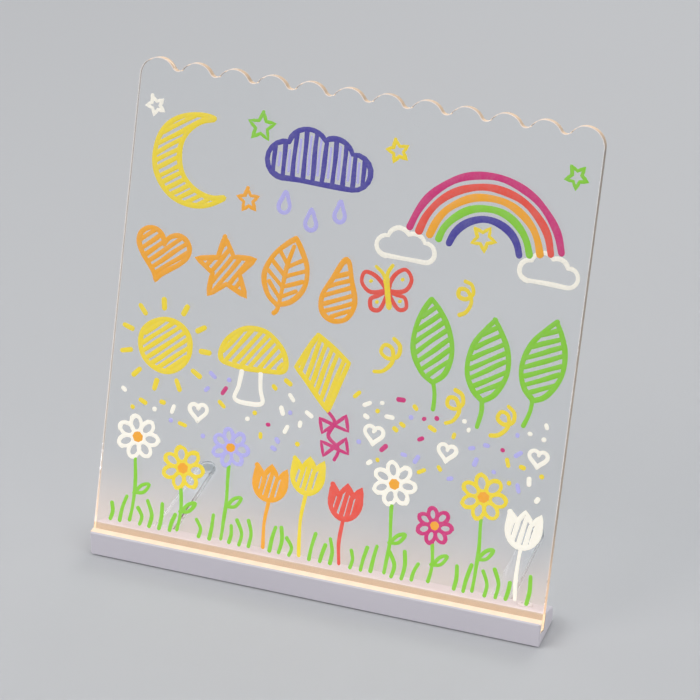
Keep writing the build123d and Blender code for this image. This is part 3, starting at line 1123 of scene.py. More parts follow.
def cloud(width: float, count: int = 10) -> tuple[Point, ...]:
    """Outline of a cloud of round puffs over a flat foot.

    Args:
        width: Its width.
        count: How many points each puff has.

    Returns:
        The points.
    """
    shares = [(-0.33, 0.0, 0.17), (-0.12, 0.12, 0.2), (0.14, 0.09, 0.18), (0.34, -0.01, 0.16)]
    puffs = [tuple(share * width for share in puff) for puff in shares]
    joints = [crossing(a, b) for a, b in zip(puffs, puffs[1:])]
    down = 270.0
    begins = [down] + [turn_of(point, puff) for point, puff in zip(joints, puffs[1:])]
    ends = [turn_of(point, puff) for point, puff in zip(joints, puffs)] + [down - 360]
    made = []
    for (x, y, radius), begin, end in zip(puffs, begins, ends):
        made += [(x + px, y + py) for px, py in arc(radius, begin, end, count)]
    return tuple(made)


def turn_of(point: Point, circle: Circle) -> float:
    """Direction of a point from a circle's middle, in degrees."""
    return math.degrees(math.atan2(point[1] - circle[1], point[0] - circle[0]))


def drop(size: float) -> tuple[Point, ...]:
    """Outline of a raindrop.

    Args:
        size: Its height.

    Returns:
        The points.
    """
    shape = [(0, 0.5), (-0.16, 0.16), (-0.27, -0.14), (-0.2, -0.38), (0, -0.47)]
    shape += [(-x, y) for x, y in reversed(shape[1:-1])]
    return tuple((x * size, y * size) for x, y in shape)


def leaf_side(length: float, width: float, side: int) -> tuple[Point, ...]:
    """One side of a leaf (1 right, -1 left), from its stalk at zero up to its tip."""
    shares = [(0.0, 0.0), (0.27, 0.10), (0.46, 0.28), (0.5, 0.47), (0.40, 0.70), (0.18, 0.90), (0.0, 1.02)]
    return tuple((side * x * width, y * length) for x, y in shares)


def hatch(outline: Points, turn: float, spacing: float, width: float, margin: float = 1.2) -> list[Stroke]:
    """Fills an outline with straight strokes.

    Args:
        outline: The outline's points.
        turn: The strokes' direction, in degrees.
        spacing: From one stroke to the next.
        width: The pen's width.
        margin: How far the strokes stay inside.

    Returns:
        The strokes.
    """
    c, s = math.cos(math.radians(turn)), math.sin(math.radians(turn))
    held = [(x * c + y * s, y * c - x * s) for x, y in outline]
    low, high = min(y for _, y in held), max(y for _, y in held)
    made = []
    rows = int((high - low) / spacing)
    for k in range(rows):
        level = low + (high - low - (rows - 1) * spacing) / 2 + k * spacing
        cuts = []
        for (ax, ay), (bx, by) in zip(held, [*held[1:], held[0]]):
            if (ay > level) != (by > level):
                cuts.append(ax + (bx - ax) * (level - ay) / (by - ay))
        cuts.sort()
        for left, right in zip(cuts[::2], cuts[1::2]):
            if right - left > 2 * margin + width:
                ends = [(x * c - level * s, x * s + level * c) for x in (left + margin, right - margin)]
                middle = ((ends[0][0] + ends[1][0]) / 2, (ends[0][1] + ends[1][1]) / 2)
                made.append(Stroke((ends[0], middle, ends[1]), width))
    return made


@dataclass(frozen=True)
class Doodle:
    """A small drawing in one colour."""

    name: str
    ink: Ink
    strokes: tuple[Stroke, ...]

    def at(self, across: float, up: float, turn: float = 0.0, size: float = 1.0) -> "Doodle":
        """Places the drawing on the panel: across from its middle, up from the base, turned, scaled."""
        return replace(self, strokes=tuple(s.moved(across, up, turn, size) for s in self.strokes))

    def plus(self, *strokes: Stroke) -> "Doodle":
        """Adds strokes to the drawing."""
        return replace(self, strokes=(*self.strokes, *strokes))


def filled(
    name: str, ink: Ink, outline: Points, turn: float = 48.0, spacing: float = 3.8, sharp: bool = False
) -> Doodle:
    """A chunky shape: an outline, which may keep its corners, with strokes across it."""
    edge = Stroke(tuple(outline), OUTLINE_WIDTH, closed=True, sharp=sharp)
    return Doodle(name, ink, (edge, *hatch(outline, turn, spacing, HATCH_WIDTH)))


def outlined(name: str, ink: Ink, *outlines: Points, width: float = 2.2, sharp: bool = False) -> Doodle:
    """A drawing of closed outlines, which may keep their corners."""
    strokes = tuple(Stroke(tuple(outline), width, closed=True, sharp=sharp) for outline in outlines)
    return Doodle(name, ink, strokes)


def lines(name: str, ink: Ink, *paths: Points, width: float = 2.2, sharp: bool = False) -> Doodle:
    """A drawing of open lines, which may keep their corners."""
    return Doodle(name, ink, tuple(Stroke(tuple(path), width, sharp=sharp) for path in paths))


@dataclass(frozen=True)
class InkLayer:
    """Turns drawings into thin raised strokes on the panel's front face."""

    face: PanelFace
    hand: Hand = field(default_factory=Hand)
    flatness: float = 0.13
    rise: float = 1.1
    clearance: float = 0.015
    sides: int = 1

    def build(self, doodle: Doodle, material: Material) -> None:
        """Makes one drawing's piece and hangs it on the panel.

        Args:
            doodle: The drawing.
            material: Its ink.
        """
        face = self.face
        widest = max(s.width for s in doodle.strokes) / 2
        lift = (widest * self.flatness * self.rise + self.clearance) * MM
        place = on_face(face.origin + face.out * lift, face.right, face.up, face.out, self.flatness)
        traced = [self.hand.trace(stroke) for stroke in doodle.strokes]
        piece = raised(f"ink_{doodle.name}", traced, place, self.sides)
        finish_piece(piece, material, Body.PANEL)


@dataclass(frozen=True)
class NightSky:
    """Moon, clouds, rain, rainbow and stars along the panel's top."""

    bow_radius: float = 41.0
    bow_step: float = 5.5
    bow_ends: Point = (12, 168)

    def drawn(self) -> list[Doodle]:
        """Draws them.

        Returns:
            The drawings.
        """
        made = [filled("moon", Ink.YELLOW, crescent(24), turn=20).at(-88, 206, 14)]
        for k, ink in enumerate((Ink.MAGENTA, Ink.CORAL, Ink.AMBER, Ink.LIME, Ink.VIOLET)):
            bow = arc(self.bow_radius - self.bow_step * k, *self.bow_ends, count=13)
            made.append(lines(f"rainbow_{k}", ink, bow, width=3.9).at(70, 182))
        puff = cloud(56)
        stripes = hatch(puff, turn=90, spacing=5.4, width=1.3, margin=4.0)
        large = filled("cloud_large", Ink.VIOLET, puff, turn=90, spacing=5.4, sharp=True)
        made += [large.at(-22, 214), Doodle("cloud_stripes", Ink.LILAC, tuple(stripes)).at(-19.4, 214)]
        for k, (x, y) in enumerate([(-38, 192), (-23, 185), (-8, 192)]):
            made.append(outlined(f"drop_{k}", Ink.LILAC, drop(11)).at(x, y))
        for side, x in (("left", 29), ("right", 105)):
            made.append(outlined(f"cloud_{side}", Ink.CREAM, cloud(31), width=2.4, sharp=True).at(x, 179))
        stars = [(-55, 229, 7.5, Ink.LIME), (-58, 190, 6.2, Ink.AMBER), (19, 228, 6.2, Ink.YELLOW)]
        stars += [(-114, 231, 5.2, Ink.CREAM), (113, 230, 6.2, Ink.LIME), (69, 191, 6.6, Ink.YELLOW)]
        for k, (x, y, size, ink) in enumerate(stars):
            made.append(outlined(f"star_{k}", ink, star(size), width=1.9, sharp=True).at(x, y, 9 * k))
        return made


@dataclass(frozen=True)
class Shapes:
    """Two rows of chunky shapes across the panel's middle."""

    sun_place: Point = SUN_PLACE
    sun_rays: Point = (20, 24.5)
    ray_count: int = 11

    def drawn(self) -> list[Doodle]:
        """Draws them.

        Returns:
            The drawings.
        """
        rays = zip(*(ring(reach, count=self.ray_count) for reach in self.sun_rays))
        made = [
            filled("heart_amber", Ink.AMBER, heart(14.5)).at(-102, 155, -8),
            filled("star_amber", Ink.AMBER, star(17), sharp=True).at(-66, 152, 8),
            self.veined_leaf().at(-36, 138, -10),
            filled("drop_amber", Ink.AMBER, drop(34), turn=30).at(-3, 151, -6),
            filled("sun", Ink.YELLOW, ring(14), turn=40).at(*self.sun_place),
            lines("sun_rays", Ink.YELLOW, *rays, width=2.8).at(*self.sun_place),
        ]
        return [*made, *self.mushroom(), *self.kite(), *self.butterfly(), *self.ferns()]

    def veined_leaf(self) -> Doodle:
        """A leaf with a midrib and veins, its stalk at zero.

        Returns:
            The drawing.
        """
        length, width = 36, 23
        strokes = [Stroke(leaf_side(length, width, side), 2.8) for side in (-1, 1)]
        strokes.append(Stroke(((-1, -4.5), (0.6, 0), (-0.4, length * 0.5), (0, length * 0.9)), 2.4))
        for low, out in ((0.12, 0.33), (0.28, 0.42), (0.44, 0.40), (0.60, 0.29)):
            for side in (-1, 1):
                tip = (side * out * width, (low + 0.17) * length)
                strokes.append(Stroke(((0, low * length), tip), 2.3))
        return Doodle("leaf_amber", Ink.AMBER, tuple(strokes))

    def mushroom(self) -> list[Doodle]:
        """A mushroom with a hatched cap.

        Returns:
            The drawings.
        """
        cap = [(-17, 10), (-15.5, 19), (-8, 26.5), (0, 28.5), (8, 26.5), (15.5, 19), (17, 10)]
        cap += [(8, 8), (-8, 8)]
        stem = [(-5, 8), (-6, -2), (-7.5, -9), (0, -10.5), (7.5, -9), (6, -2), (5, 8)]
        drawn = [filled("mushroom", Ink.YELLOW, cap, turn=55)]
        drawn.append(lines("mushroom_stem", Ink.CREAM, stem, width=2.4))
        return [doodle.at(-46, 94, size=1.04) for doodle in drawn]

    def kite(self) -> list[Doodle]:
        """A kite with a tail of small bows.

        Returns:
            The drawings.
        """
        body = [(0, 20), (14.5, 4), (0, -20), (-14.5, 4)]
        tail = [(0, -20), (3, -26), (-1.5, -33), (3, -40), (0, -46)]
        bow = [(0, 0), (-7, 4), (-7, -4), (0, 0), (7, 4), (7, -4), (0, 0)]
        bows = [[(x + dx, y + dy) for dx, dy in bow] for x, y in ((2.4, -27.5), (1.2, -39.5))]
        drawn = [
            filled("kite", Ink.YELLOW, body, turn=62, sharp=True),
            lines("kite_tail", Ink.MAGENTA, tail, width=2.0),
            lines("kite_bows", Ink.MAGENTA, *bows, width=1.9, sharp=True),
        ]
        return [doodle.at(-7, 107, 14) for doodle in drawn]

    def butterfly(self) -> list[Doodle]:
        """A butterfly with dotted wings.

        Returns:
            The drawings.
        """
        upper = [(1, 1), (6, 9), (13, 12), (16, 6), (12, 0), (5, -1)]
        lower = [(1, -1), (6, -3), (11, -5), (11, -11), (6, -12), (2, -6)]
        wings = [[(side * x, y) for x, y in wing] for side in (-1, 1) for wing in (upper, lower)]
        marks = [[(0, 6), (side * 1.6, 11), (side * 5.2, 15)] for side in (-1, 1)]
        for side in (-1, 1):
            for x, y in ((10, 6), (7.2, -7.2)):
                marks.append([(side * x, y), (side * x + 0.3, y + 0.2)])
        body = lines("butterfly_body", Ink.YELLOW, [(0, 7), (0, -10)], width=3.4)
        body = body.plus(*lines("marks", body.ink, *marks, width=1.9).strokes)
        return [doodle.at(22, 156, 12, 0.84) for doodle in (outlined("butterfly", Ink.CORAL, *wings), body)]

    def ferns(self) -> list[Doodle]:
        """Three hatched leaves on stalks at the right, with curls between them.

        Returns:
            The drawings.
        """
        left, right = (leaf_side(42, 21, side) for side in (-1, 1))
        stalk = Stroke(((0, 0), (0.6, -6), (-0.5, -14)), 2.4)
        veins = hatch((*right, *left[-2:0:-1]), turn=35, spacing=4.4, width=2.6)
        made = []
        for k, (x, y, turn) in enumerate([(52, 113, 8), (79, 108, -2), (105, 113, -10)]):
            leaf = Doodle(f"leaf_{k}", Ink.LIME, (Stroke(left, 2.8), Stroke(right, 2.8), stalk, *veins))
            made.append(leaf.at(x, y, turn))
        curl = [(1, 9), (5, 6.5), (5.5, 1), (1, -2), (-3.4, 0), (-2.4, 4.2), (2, 3.4)]
        curl += [(4, -3), (0.5, -9), (-4, -11)]
        places = [(64, 103, 6, 0.9), (91, 100, -10, 0.9), (63, 160, 10, 0.85), (26, 123, -10, 1.0)]
        return [*made, *(lines(f"curl_{k}", Ink.YELLOW, curl).at(*place) for k, place in enumerate(places))]


@dataclass(frozen=True)
class Garden:
    """Flowers, tulips and grass along the panel's foot."""

    petal_count: int = 7
    petal_shares: Point = (0.64, 0.36)
    petal_squash: float = 0.72
    petal_points: int = 8
    eye_share: float = 0.16
    stalk_foot: float = 8.0
    leaf_share: float = 0.55
    cup_radius: float = 8.6
    cup_middle: float = 1.6
    cup_depth: float = 1.12
    cup_foot: float = 9.0
    blade_start: float = -116.0
    blade_pitch: float = 5.65
    blade_count: int = 42
    blade_foot: float = 7.0
    blade_heights: Point = (9.0, 15.0)
    blade_leans: Point = (0.8, 2.6)
    blade_waves: Point = (2.1, 1.3)
    blade_gap: float = 3.4
    short_stalk: float = 32.0
    leaf_room: float = 10.0

    def drawn(self) -> list[Doodle]:
        """Draws them.

        Returns:
            The drawings.
        """
        made = []
        plan = [(-105, 54, 11.5, Ink.CREAM), (-78, 42, 11.5, Ink.YELLOW), (-53, 58, 10.0, Ink.LILAC)]
        plan += [(38, 56, 11.5, Ink.CREAM), (62, 38, 9.5, Ink.MAGENTA), (86, 58, 12.0, Ink.YELLOW)]
        for k, (x, y, size, ink) in enumerate(plan):
            made += [doodle.at(x, y) for doodle in self.flower(f"flower_{k}", ink, y, size)]
        cups = [(-29, 42, Ink.AMBER), (-9, 50, Ink.YELLOW), (13, 40, Ink.CORAL), (109, 44, Ink.CREAM)]
        made += [self.tulip(f"tulip_{k}", ink, y).at(x, y) for k, (x, y, ink) in enumerate(cups)]
        short = [x for x, y, size, _ in plan if y - size < self.short_stalk]
        made.append(self.grass([x for x, *_ in (*plan, *cups)], short))
        return made

    def grass(self, feet: Sequence[float], short: Sequence[float]) -> Doodle:
        """Blades of grass between the stalks.

        Args:
            feet: Where the stalks stand, across the panel.
            short: Where the stalks with low leaves stand.

        Returns:
            The drawing.
        """
        blades = []
        for k in range(self.blade_count):
            x = self.blade_start + self.blade_pitch * k
            by_stalk = min(abs(x - foot) for foot in feet) < self.blade_gap
            if by_stalk or any(0 < x - foot < self.leaf_room for foot in short):
                continue
            tall_wave, lean_wave = (math.sin(k * wave) for wave in self.blade_waves)
            low, high = self.blade_heights
            tall = low + (high - low) * tall_wave**2
            middle, tip = self.blade_leans
            blade = [(x, 0), (x + middle, tall / 2), (x + tip * lean_wave, tall)]
            blades.append([(across, self.blade_foot + up) for across, up in blade])
        return lines("grass", Ink.LIME, *blades, width=2.1)

    def flower(self, name: str, ink: Ink, height: float, size: float) -> list[Doodle]:
        """A round flower on a stalk, its middle at zero.

        Args:
            name: The drawing's name.
            ink: The petals' colour.
            height: Its middle's height over the base.
            size: From its middle to a petal's tip.

        Returns:
            The drawings.
        """
        place, reach = (share * size for share in self.petal_shares)
        loop = [(x + place, y) for x, y in ring(reach, self.petal_squash, self.petal_points)]
        petal = outlined(name, ink, loop, width=2.1)
        turned = [petal.at(0, 0, 360 * k / self.petal_count).strokes[0] for k in range(self.petal_count)]
        run = height - size - self.stalk_foot
        stalk = [(0, -size), (1.2, -size - run / 2), (0, self.stalk_foot - height)]
        low = -size - run * self.leaf_share
        leaf = [(x, low + y) for x, y in ((1, 0), (5, 5), (9, 6), (6, 1), (1, 0))]
        eye = outlined(f"{name}_eye", Ink.AMBER, ring(self.eye_share * size, count=8), width=2.4)
        return [
            Doodle(name, ink, tuple(turned)),
            eye.plus(Stroke(((-0.3, 0.1), (0.3, -0.1)), 2.4)),
            lines(f"{name}_stalk", Ink.LIME, stalk, leaf, width=2.0),
        ]

    def tulip(self, name: str, ink: Ink, height: float) -> Doodle:
        """A hatched tulip's cup, its middle at zero, with its stalk.

        Args:
            name: The drawing's name.
            ink: Its colour.
            height: Its middle's height over the base.

        Returns:
            The drawing.
        """
        cup = [(-8, 9.5), (-4, 4.5), (0, 10.5), (4, 4.5), (8, 9.5)]
        round_side = arc(self.cup_radius, 0, -180, count=13)
        cup += [(x, y * self.cup_depth + self.cup_middle) for x, y in round_side]
        top, foot = -self.cup_foot, self.stalk_foot - height
        stalk = Stroke(((0, top), (-1, (top + foot) / 2), (0, foot)), 2.0)
        return filled(name, ink, cup, turn=80, spacing=3.3, sharp=True).plus(stalk)


@dataclass(frozen=True)
class Specks:
    """Small dashes, dots and hearts in pale colours, in the free places over the flowers."""

    sun_place: Point = SUN_PLACE
    sun_reach: float = 31.0
    seed: int = 21
    tries: int = 420
    gap: float = 4.6
    area: tuple[Point, Point] = ((-116, 116), (61, 103))
    lengths: Triple = (0.2, 1.4, 3.0)
    inks: tuple[Ink, ...] = (*(Ink.CREAM, Ink.LILAC, Ink.YELLOW) * 2, Ink.MAGENTA)

    def drawn(self, others: Sequence[Doodle]) -> list[Doodle]:
        """Draws them.

        Args:
            others: What is drawn already.

        Returns:
            The drawings.
        """
        spots = [(-73, 74, 5.0), (24, 80, 5.2), (64, 78, 4.8), (112, 84, 4.8)]
        outlines = [[(x + px, y + py) for px, py in heart(size)] for x, y, size in spots]
        hearts = outlined("small_hearts", Ink.CREAM, *outlines)
        strokes = [stroke for doodle in (*others, hearts) for stroke in doodle.strokes]
        divided = Hand().divided
        taken = [point for stroke in strokes for point in divided(stroke.points, stroke.closed)]
        scatter = random.Random(self.seed)
        dashes: dict[Ink, list[list[Point]]] = {ink: [] for ink in self.inks}
        for _ in range(self.tries):
            x, y = (scatter.uniform(*ends) for ends in self.area)
            turn, length = scatter.uniform(0, math.pi), scatter.choice(self.lengths)
            ink = scatter.choice(self.inks)
            dash = [(x, y), (x + length * math.cos(turn), y + length * math.sin(turn))]
            clear = min(math.dist(end, other) for end in dash for other in taken) > self.gap
            if clear and math.dist(dash[0], self.sun_place) > self.sun_reach:
                taken += dash
                dashes[ink].append(dash)
        made = [lines(f"specks_{ink.name.lower()}", ink, *paths, width=2.4) for ink, paths in dashes.items()]
        return [hearts, *made]


@dataclass(frozen=True)
class MarkerDrawings:
    """All the drawings on the panel's front face."""

    face: PanelFace

    def build(self) -> None:
        """Draws everything on the panel."""
        layer = InkLayer(self.face)
        inks = {ink: MarkerInk(ink).material(self.face) for ink in Ink}
        drawn = [*NightSky().drawn(), *Shapes().drawn(), *Garden().drawn()]
        for doodle in (*drawn, *Specks().drawn(drawn)):
            layer.build(doodle, inks[doodle.ink])


@dataclass(frozen=True)
class Panel:
    """The clear sheet."""

    face: PanelFace
    finish: EdgeLitAcrylic = EdgeLitAcrylic()

    def dress(self) -> None:
        """Gives the sheet its finish."""
        dress(self.finish.material(self.face), "acrylic_panel")


@dataclass(frozen=True)
class LightBar:
    """Base: housing, glowing channel, cover, feet and screws."""

    face: PanelFace
    glow: FrostedGlow = FrostedGlow()
    housing: SatinMoulding = SatinMoulding("white_housing", (0.63, 0.60, 0.665), (0.67, 0.64, 0.70))
    cover: SatinMoulding = SatinMoulding(
        "white_cover", (0.64, 0.62, 0.67), (0.68, 0.66, 0.705), 0.5, 0.55, 0.02
    )
    rubber: SatinMoulding = SatinMoulding(
        "foot_rubber", (0.50, 0.50, 0.51), (0.56, 0.56, 0.57), 0.78, 0.5, 0.03
    )
    steel: Metal = Metal("screw_steel", (0.62, 0.63, 0.66), (0.72, 0.71, 0.70))

    def dress(self) -> None:
        """Gives the base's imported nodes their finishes."""
        dress(self.housing.material(), "base_shell")
        dress(self.glow.material(self.face), "light_diffuser")
        dress(self.cover.material(), "bottom_cover")
        dress(self.rubber.material(), "rubber_feet")
        dress(self.steel.material(), "cover_screws", "pivot_screws")


@dataclass(frozen=True)
class Legs:
    """The two swing-out legs, with their pads and washers."""

    clear: ClearMoulding = ClearMoulding()
    nylon: SatinMoulding = SatinMoulding(
        "washer_nylon", (0.78, 0.76, 0.69), (0.83, 0.81, 0.75), 0.46, 0.5, 0.01
    )
    silicone: SatinMoulding = SatinMoulding(
        "pad_silicone", (0.78, 0.79, 0.80), (0.83, 0.84, 0.85), 0.6, 0.4, 0.02
    )

    def dress(self) -> None:
        """Gives the legs, pads and washers their finishes."""
        dress(self.clear.material(), "left_leg", "right_leg")
        dress(self.nylon.material(), "pivot_washers")
        dress(self.silicone.material(), "left_leg_pad", "right_leg_pad")


@dataclass(frozen=True)
class Electronics:
    """Light strip, supply board, socket, switch and wires."""

    lens_radius: float = 0.95
    lens_height: float = 0.16
    lens_sides: int = 20
    lens_steps: tuple[Point, ...] = ((0.25, 0.05), (0.3, 0.03))
    cap_length: float = 0.34
    cap_wrap: Point = (0.06, 0.04)
    cap_bite: float = 0.02
    lead_foot: Triple = (0.42, 0.55, 0.16)
    lead_reach: float = 0.62
    lead_bends: tuple[Triple, ...] = ((0, -0.22, 0.6), (0, -0.16, 0))
    lead_pitch: float = 1.27
    lead_count: int = 4
    contact_size: Triple = (3.4, 0.26, 0.08)
    contact_inset: float = 0.35
    contact_levels: float = 0.7
    contact_pitch: float = 0.5
    contact_count: int = 12
    fine_edge: float = 0.03
    epoxy: SatinMoulding = SatinMoulding(
        "black_component", (0.028, 0.028, 0.030), (0.045, 0.045, 0.047), 0.5, 0.16, 0.01
    )
    black: SatinMoulding = SatinMoulding(
        "black_plastic", (0.022, 0.022, 0.024), (0.034, 0.034, 0.036), 0.4, 0.2, 0.008
    )
    nickel: Metal = Metal("socket_steel", (0.70, 0.69, 0.66), (0.78, 0.77, 0.75), 0.22, (0.2, 1.0, 1.0))
    tin: Metal = Metal("tin_plate", (0.68, 0.68, 0.69), (0.76, 0.76, 0.76), 0.3)
    gold: Metal = Metal("contact_gold", (0.80, 0.58, 0.22), (0.86, 0.66, 0.30), 0.24)
    supply: WireJacket = WireJacket("supply_wires_jacket", (0.02, 0.02, 0.022), (0.55, 0.03, 0.02))
    switch: WireJacket = WireJacket("switch_wires_jacket", (0.75, 0.74, 0.72), (0.06, 0.12, 0.42))

    def dress(self) -> None:
        """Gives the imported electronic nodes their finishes."""
        dress(SolderMask().material(), "led_board", "usb_board", "button_board")
        dress(self.epoxy.material(), "led_resistors", "driver_chip")
        dress(self.black.material(), "usb_socket_tongue", "switch_plunger", "switch_body")
        dress(LampPackage().material(middle_of("led_chips").y), "led_chips")
        dress(self.nickel.material(), "usb_socket_shell")
        for node, jacket in (("supply_wires", self.supply), ("switch_wires", self.switch)):
            dress(jacket.material(middle_of(node).x), node)

    def lenses(self) -> None:
        """Lays a low phosphor dome on each lamp."""
        middle, top = middle_of("led_chips"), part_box("led_chips")[1].z
        places = [(left + right) / 2 for left, right in spans("led_chips")]
        lens = start(
            bpy.ops.mesh.primitive_cylinder_add,
            "lamp_lenses",
            vertices=self.lens_sides,
            radius=self.lens_radius * MM,
            depth=self.lens_height * MM,
            location=(places[0], middle.y, top + self.lens_height / 2 * MM),
        )
        pick_faces(lens, (0, 0, 1))
        for inset, rise in self.lens_steps:
            edit(
                lens,
                lambda: bpy.ops.mesh.inset(thickness=inset * MM),
                lambda: bpy.ops.transform.translate(value=(0, 0, rise * MM)),
            )
        soften(lens, self.fine_edge)
        repeat(lens, [Matrix.Translation((x - places[0], 0, 0)) for x in places[1:]])
        phosphor = LampPackage(face_radius=self.lens_radius * 2).material(middle.y)
        finish_piece(lens, phosphor, Body.BASE)

    def resistor_ends(self, tin: Material) -> None:
        """Puts a plated cap round each end of each resistor.

        Args:
            tin: The plating.
        """
        low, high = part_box("led_resistors")
        deeper, taller = (extra * MM for extra in self.cap_wrap)
        size = Vector((self.cap_length * MM, high.y - low.y + deeper, high.z - low.z + taller))
        inward = size.x / 2 - self.cap_bite * MM
        places = [x + side * inward for ends in spans("led_resistors") for x, side in zip(ends, (1, -1))]
        first = Vector((places[0], (low.y + high.y) / 2, low.z + size.z / 2))
        cap = start(bpy.ops.mesh.primitive_cube_add, "resistor_ends", size=1, location=first, scale=size)
        soften(cap, self.fine_edge * 2, 2)
        repeat(cap, [Matrix.Translation((x - places[0], 0, 0)) for x in places[1:]])
        finish_piece(cap, tin, Body.BASE)

    def chip_leads(self, tin: Material) -> None:
        """Bends leads along both long sides of the driver chip.

        Args:
            tin: The plating.
        """
        low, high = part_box("driver_chip")
        middle, foot = middle_of("driver_chip"), Vector(self.lead_foot) * MM
        left = middle.x - (self.lead_count - 1) / 2 * self.lead_pitch * MM
        first = Vector((left, high.y + self.lead_reach * MM, low.z + foot.z / 2))
        lead = start(bpy.ops.mesh.primitive_cube_add, "chip_leads", size=1, location=first, scale=foot)
        pick_faces(lead, (0, -1, 0))
        for bend in self.lead_bends:
            move = {"value": Vector(bend) * MM}
            edit(lead, lambda: bpy.ops.mesh.extrude_region_move(TRANSFORM_OT_translate=move))
        soften(lead, self.fine_edge)
        steps = [Matrix.Translation((k * self.lead_pitch * MM, 0, 0)) for k in range(self.lead_count)]
        half_turn = Matrix.Rotation(math.pi, 4, "Z")
        far_side = Matrix.Translation(middle) @ half_turn @ Matrix.Translation(-middle)
        repeat(lead, [*steps[1:], *(far_side @ step for step in steps)])
        finish_piece(lead, tin, Body.BASE)

    def contacts(self) -> None:
        """Lays gold contacts on both sides of the socket's tongue."""
        low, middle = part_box("usb_socket_tongue")[0], middle_of("usb_socket_tongue")
        size, levels = Vector(self.contact_size) * MM, self.contact_levels * MM
        steps = [k * self.contact_pitch * MM for k in range(self.contact_count)]
        first = Vector((
            low.x + self.contact_inset * MM + size.x / 2,
            middle.y - steps[-1] / 2,
            middle.z + levels / 2,
        ))
        strip = start(bpy.ops.mesh.primitive_cube_add, "socket_contacts", size=1, location=first, scale=size)
        soften(strip, self.fine_edge)
        places = [(0, step, level) for level in (0, -levels) for step in steps]
        repeat(strip, [Matrix.Translation(place) for place in places[1:]])
        finish_piece(strip, self.gold.material(), Body.BASE)

    def build(self) -> None:
        """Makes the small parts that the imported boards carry."""
        tin = self.tin.material()
        self.lenses()
        self.resistor_ends(tin)
        self.chip_leads(tin)
        self.contacts()


@dataclass(frozen=True)
class PowerButton:
    """The button on the rear slope, with a plain on-off mark."""

    mark_radius: float = 1.9
    mark_turns: Point = (122, 418)
    mark_points: int = 30
    mark_bar: Point = (0.35, 2.3)
    mark_width: float = 0.5
    mark_sides: int = 2
    flatness: float = 0.2
    crown_depth: float = 0.1
    cap: SatinMoulding = SatinMoulding(
        "button_plastic", (0.70, 0.68, 0.72), (0.73, 0.71, 0.75), 0.36, 0.25, 0.006
    )
    mark: SatinMoulding = SatinMoulding(
        "button_mark", (0.16, 0.17, 0.19), (0.20, 0.21, 0.23), 0.45, 0.2, 0.006
    )

    def build(self) -> None:
        """Dresses the cap and lays the mark on its face."""
        dress(self.cap.material(), "button_cap")
        out, right = -joint_axis(Body.BUTTON), Vector((-1, 0, 0))
        corners = [v.co for v in frame["nodes"]["button_cap"].data.vertices]
        top = max(c.dot(out) for c in corners)
        crown = [c for c in corners if c.dot(out) > top - self.crown_depth * MM]
        middle = sum(crown, Vector()) / len(crown)
        middle += out * (top - middle.dot(out))
        circle = arc(self.mark_radius, *self.mark_turns, self.mark_points)
        bar = [(0, y) for y in self.mark_bar]
        paths = [[(x, y, self.mark_width / 2) for x, y in path] for path in (circle, bar)]
        place = on_face(middle, right, out.cross(right), out, self.flatness)
        piece = raised("button_mark", paths, place, self.mark_sides)
        finish_piece(piece, self.mark.material(), Body.BUTTON)


@dataclass(frozen=True)
class Lamp:
    """A soft rectangular lamp that points at the board."""

    name: str
    place: Triple
    size: Point
    power: float

    def build(self, aim: Vector) -> None:
        """Makes the lamp.

        Args:
            aim: The point that it shines at.
        """
        data = bpy.data.lights.new(self.name, "AREA")
        data.shape = "RECTANGLE"
        data.size, data.size_y = self.size
        data.energy = self.power
        lamp = bpy.data.objects.new(self.name, data)
        lamp.location = self.place
        lamp.rotation_euler = (aim - lamp.location).to_track_quat("-Z", "Y").to_euler()
        bpy.context.scene.collection.objects.link(lamp)


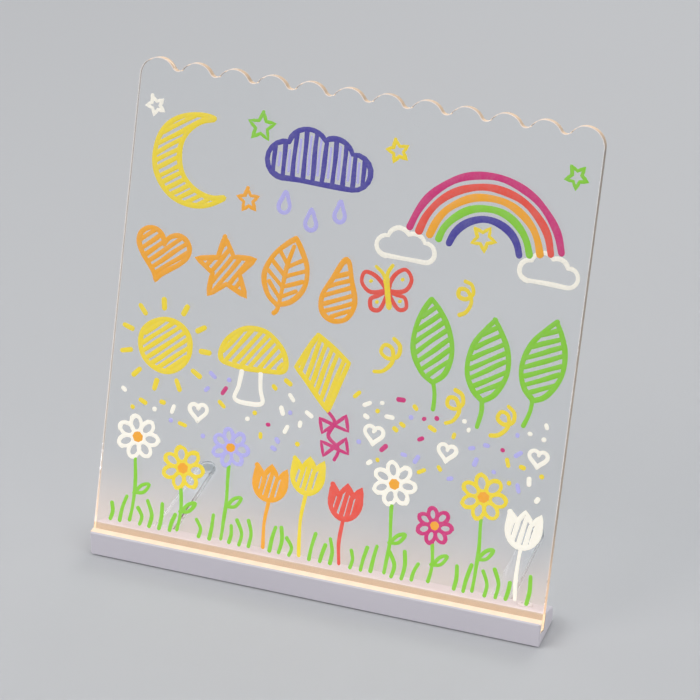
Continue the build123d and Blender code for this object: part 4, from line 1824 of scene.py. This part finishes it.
@dataclass(frozen=True)
class Studio:
    """Pale floor, soft light and the camera at the photograph's viewing angle."""

    pale: Colour = (0.56, 0.57, 0.59)
    paper_shade: float = 0.985
    paper: Grain = Grain(1.4)
    paper_roughness: Point = (0.84, 0.92)
    paper_shine: float = 0.15
    floor_width: float = 14.0
    floor_fade: Point = (0.5, 1.9)
    sky_light: float = 0.52
    azimuth: float = 19.96
    elevation: float = 31.13
    roll: float = -0.31
    camera_place: Triple = (0.4884, -1.3668, 1.0279)
    lens: float = 170.0
    sensor: float = 36.0
    shift: Point = (0.033, -0.061)
    clip: Point = (0.05, 60.0)
    lamps: tuple[Lamp, ...] = (
        Lamp("key_lamp", (-0.95, -0.75, 1.45), (0.9, 0.9), 11.5),
        Lamp("gloss_lamp", (-1.16, -1.80, 0.62), (0.34, 1.1), 3.6),
        Lamp("fill_lamp", (1.25, -0.55, 0.95), (0.8, 0.8), 4.5),
        Lamp("back_lamp", (0.25, 1.15, 1.0), (1.0, 0.5), 4.5),
    )

    def floor(self) -> None:
        """Lays the floor, which fades into the even tone beyond it."""
        piece = start(bpy.ops.mesh.primitive_plane_add, "floor", size=self.floor_width)
        nodes = Graph("floor_paper")
        grain = nodes.noise(self.paper)
        shader = nodes.surface(
            Base_Color=nodes.tint(grain, tuple(c * self.paper_shade for c in self.pale), self.pale),
            Roughness=nodes.spread(grain, *self.paper_roughness),
            Specular_IOR_Level=self.paper_shine,
        )
        reach = nodes.add("VectorMath", {0: nodes.place()}, operation="LENGTH").outputs["Value"]
        far = nodes.span(reach, (self.floor_fade[0], 0.0), (self.floor_fade[1], 1.0), smooth=True)
        tone = nodes.add("Emission", {"Color": (*self.pale, 1), "Strength": 1.0})
        share = nodes.math("MULTIPLY", far, nodes.seen())
        paint(piece, nodes.done(nodes.mixed(share, shader, tone)))

    def world(self) -> None:
        """Makes the even light all round, and the pale tone that stands beyond the floor."""
        nodes = Graph("studio", Shaded.WORLD)
        light = nodes.add("Background", {"Color": (1, 1, 1, 1), "Strength": self.sky_light})
        tone = nodes.add("Background", {"Color": (*self.pale, 1), "Strength": 1.0})
        bpy.context.scene.world = nodes.done(nodes.mixed(nodes.seen(), light, tone))

    def camera(self) -> None:
        """Sets the camera up."""
        data = bpy.data.cameras.new("camera")
        data.lens = self.lens
        data.sensor_width = self.sensor
        data.shift_x, data.shift_y = self.shift
        data.clip_start, data.clip_end = self.clip
        camera = bpy.data.objects.new("camera", data)
        turns = ((self.azimuth, "Z"), (90 - self.elevation, "X"), (self.roll, "Z"))
        turn, tilt, roll = (Matrix.Rotation(math.radians(angle), 4, axis) for angle, axis in turns)
        camera.matrix_world = Matrix.Translation(self.camera_place) @ turn @ tilt @ roll
        bpy.context.scene.collection.objects.link(camera)
        bpy.context.scene.camera = camera

    def build(self) -> None:
        """Sets up the whole studio."""
        self.floor()
        self.world()
        for lamp in self.lamps:
            lamp.build(sum(CAD_BOX, Vector()) / 2)
        self.camera()
        bpy.context.scene.view_settings.view_transform = "Standard"
        log.info("studio ready")


def main() -> None:
    """Dresses the board, draws on it and sets up the studio."""
    logging.basicConfig(level=logging.INFO, format="%(message)s")
    face = PanelFace.measured()
    Panel(face).dress()
    LightBar(face).dress()
    Legs().dress()
    electronics = Electronics()
    electronics.dress()
    electronics.build()
    PowerButton().build()
    MarkerDrawings(face).build()
    Studio().build()


if __name__ == "__main__":
    main()
